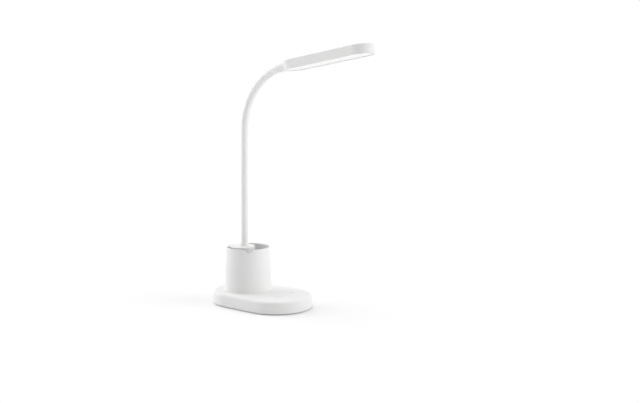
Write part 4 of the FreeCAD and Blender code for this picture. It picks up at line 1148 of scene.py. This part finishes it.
def ferrule_skin():
    """The sleeve between neck and head: circles round the neck's axis that widen evenly from a
    softened mouth to the head, and on into the wall of its round end."""
    size = shape()
    mouth = neck_length() - size.ferrule_length
    face = neck_length() + size.head_reach
    bore = size.neck_radius - FERRULE_BITE
    soft = FERRULE_SOFT
    lip = np.array([
        (mouth + FERRULE_BORE, bore), (mouth, bore), (mouth, size.ferrule_mouth - soft),
        (mouth + 0.25 * soft, size.ferrule_mouth - 0.25 * soft),
    ])
    along = np.linspace(mouth + soft, face, FERRULE_RINGS)
    radius = np.interp(along, (mouth, face), (size.ferrule_mouth, size.ferrule_radius))
    path = np.vstack([lip, np.stack([along, radius], axis=-1), (face + FERRULE_SEAT, size.ferrule_radius)])
    return closed_loops(tube_rings(path[:, 0], path[:, 1], RING_AROUND))


class LAMP_OT_head(bpy.types.Operator):
    """Build the head's housing, its diffuser and the sleeve that joins it to the neck"""
    bl_idname = "lamp.head"
    bl_label = "Head"

    def execute(self, context):
        opal = FINISHES["opal_diffuser"]
        add_white("head_housing", housing_skin(), HEAD, "head_shell")
        add_piece("head_diffuser", diffuser_skin(), opal, HEAD, ["diffuser"])
        add_white("head_sleeve", ferrule_skin(), HEAD, "head_ferrule")
        return {"FINISHED"}


# ---- Carried-over solids ----

class LAMP_OT_hardware(bpy.types.Operator):
    """Give the solids that stay as they are their finishes"""
    bl_idname = "lamp.hardware"
    bl_label = "Hardware"

    def execute(self, context):
        for subpart in frame["record"]["subparts"]:
            node = frame["nodes"][subpart["node"]]
            node.data.materials.clear()
            node.data.materials.append(FINISHES[subpart["material_slot"]])
        return {"FINISHED"}


# ---- Stage ----

WHITE = (1.0, 1.0, 1.0, 1.0)
FLOOR_SIDES = 64
FLOOR_ROUGHNESS = 0.9
SENSOR_WIDTH = 36.0


def seen_directly(tree):
    """1 for rays from the camera and through gloss or glass, 0 for the light's own rays."""
    path = tree.nodes.new("ShaderNodeLightPath")
    total = path.outputs["Is Camera Ray"]
    for name in ("Is Glossy Ray", "Is Transmission Ray"):
        total = maths(tree, "MAXIMUM", total, path.outputs[name])
    return total


def build_floor(settings):
    """A round floor. Where it is seen directly a little light is added, so that it ends in white."""
    turns = np.linspace(0, TURN, FLOOR_SIDES, endpoint=False)
    points = np.stack([np.cos(turns), np.sin(turns), np.zeros_like(turns)], axis=-1) * settings.floor_radius
    mesh = bpy.data.meshes.new("floor")
    mesh.from_pydata(points.tolist(), [], [tuple(range(len(turns)))])
    floor = bpy.data.objects.new("floor", mesh)
    bpy.context.scene.collection.objects.link(floor)
    material = bpy.data.materials.new("floor")
    material.use_nodes = True
    tree = material.node_tree
    shader = tree.nodes["Principled BSDF"]
    shader.inputs["Base Color"].default_value = (*settings.floor_colour, 1.0)
    shader.inputs["Roughness"].default_value = FLOOR_ROUGHNESS
    shader.inputs["Specular IOR Level"].default_value = 0.0
    shader.inputs["Emission Color"].default_value = WHITE
    lift = maths(tree, "MULTIPLY", seen_directly(tree), settings.floor_lift)
    tree.links.new(lift, shader.inputs["Emission Strength"])
    mesh.materials.append(material)


def soft_patch(tree, place, turn, rise, level, focus):
    """A soft patch of light: level x (cosine of the angle from its middle) ^ focus."""
    toward = (math.cos(turn) * math.cos(rise), math.sin(turn) * math.cos(rise), math.sin(rise))
    facing = tree.nodes.new("ShaderNodeVectorMath")
    facing.operation = "DOT_PRODUCT"
    facing.inputs[1].default_value = toward
    tree.links.new(place, facing.inputs[0])
    source = facing.outputs["Value"]
    for operation, number in (("MAXIMUM", 0.0), ("POWER", focus), ("MULTIPLY", level)):
        source = maths(tree, operation, source, number)
    return source


def build_room(settings):
    """The room: white where it is seen directly. Its light is an even level with broad soft patches:
    low ones on the right, on the left and behind, high ones on the right and left, and one overhead."""
    world = bpy.data.worlds.new("room")
    world.use_nodes = True
    tree = world.node_tree
    background = tree.nodes["Background"]
    output = tree.nodes["World Output"]
    place = tree.nodes.new("ShaderNodeTexCoord").outputs["Generated"]
    overhead = math.pi / 2
    total = settings.room
    for patch in (
        (settings.right_turn, settings.low_rise, settings.right_light, settings.side_focus),
        (settings.left_turn, settings.low_rise, settings.left_light, settings.side_focus),
        (settings.rear_turn, settings.low_rise, settings.rear_light, settings.side_focus),
        (settings.right_turn, settings.high_rise, settings.high_right_light, settings.side_focus),
        (settings.high_left_turn, settings.high_rise, settings.high_left_light, settings.side_focus),
        (0.0, overhead, settings.canopy_light, settings.canopy_focus),
    ):
        total = maths(tree, "ADD", soft_patch(tree, place, *patch), total)
    tree.links.new(total, background.inputs["Strength"])
    background.inputs["Color"].default_value = WHITE
    white = tree.nodes.new("ShaderNodeBackground")
    white.inputs["Color"].default_value = WHITE
    mix = tree.nodes.new("ShaderNodeMixShader")
    tree.links.new(seen_directly(tree), mix.inputs["Fac"])
    tree.links.new(background.outputs["Background"], mix.inputs[1])
    tree.links.new(white.outputs["Background"], mix.inputs[2])
    tree.links.new(mix.outputs["Shader"], output.inputs["Surface"])
    bpy.context.scene.world = world


def build_camera(settings):
    """A level camera: the upright edges stay parallel, and the shift takes in the desk."""
    data = bpy.data.cameras.new("camera")
    data.sensor_width = SENSOR_WIDTH
    data.lens = settings.camera_lens
    data.shift_y = settings.camera_shift
    camera = bpy.data.objects.new("camera", data)
    camera.location = settings.camera_place
    camera.rotation_euler = Euler((math.pi / 2, 0.0, settings.camera_turn))
    bpy.context.scene.collection.objects.link(camera)
    bpy.context.scene.camera = camera


class LAMP_OT_stage(bpy.types.Operator):
    """Build the floor, the room's light and the camera"""
    bl_idname = "lamp.stage"
    bl_label = "Stage"

    def execute(self, context):
        settings = stage()
        build_floor(settings)
        build_room(settings)
        build_camera(settings)
        context.scene.view_settings.view_transform = "Standard"
        return {"FINISHED"}


# ---- Add-on ----

OPERATORS = (LAMP_OT_base, LAMP_OT_cup, LAMP_OT_neck, LAMP_OT_head, LAMP_OT_hardware, LAMP_OT_stage)
SETTINGS = {"lamp_shape": LampShape, "lamp_finish": LampFinish, "lamp_stage": LampStage}


class LAMP_PT_panel(bpy.types.Panel):
    """The lamp's settings and the steps that build it"""
    bl_idname = "LAMP_PT_panel"
    bl_label = "Pen-cup desk lamp"
    bl_space_type = "VIEW_3D"
    bl_region_type = "UI"
    bl_category = "Lamp"

    def draw(self, context):
        for operator in OPERATORS:
            self.layout.operator(operator.bl_idname)
        for name in SETTINGS:
            group = getattr(context.scene, name)
            box = self.layout.box()
            for setting in group.__annotations__:
                box.prop(group, setting, text=setting.replace("_", " ").capitalize())


def register():
    """Registers the settings, the operators and the panel."""
    for group in (*SETTINGS.values(), *OPERATORS, LAMP_PT_panel):
        bpy.utils.register_class(group)
    for name, group in SETTINGS.items():
        setattr(bpy.types.Scene, name, PointerProperty(type=group))


def unregister():
    """Takes back what register does."""
    for name in SETTINGS:
        delattr(bpy.types.Scene, name)
    for group in (LAMP_PT_panel, *reversed(OPERATORS), *SETTINGS.values()):
        bpy.utils.unregister_class(group)


def main():
    """Builds the lamp by its operators."""
    register()
    FINISHES.update(build_finishes())
    for step in ("base", "cup", "neck", "head", "hardware", "stage"):
        getattr(bpy.ops.lamp, step)()


if __name__ == "__main__":
    main()
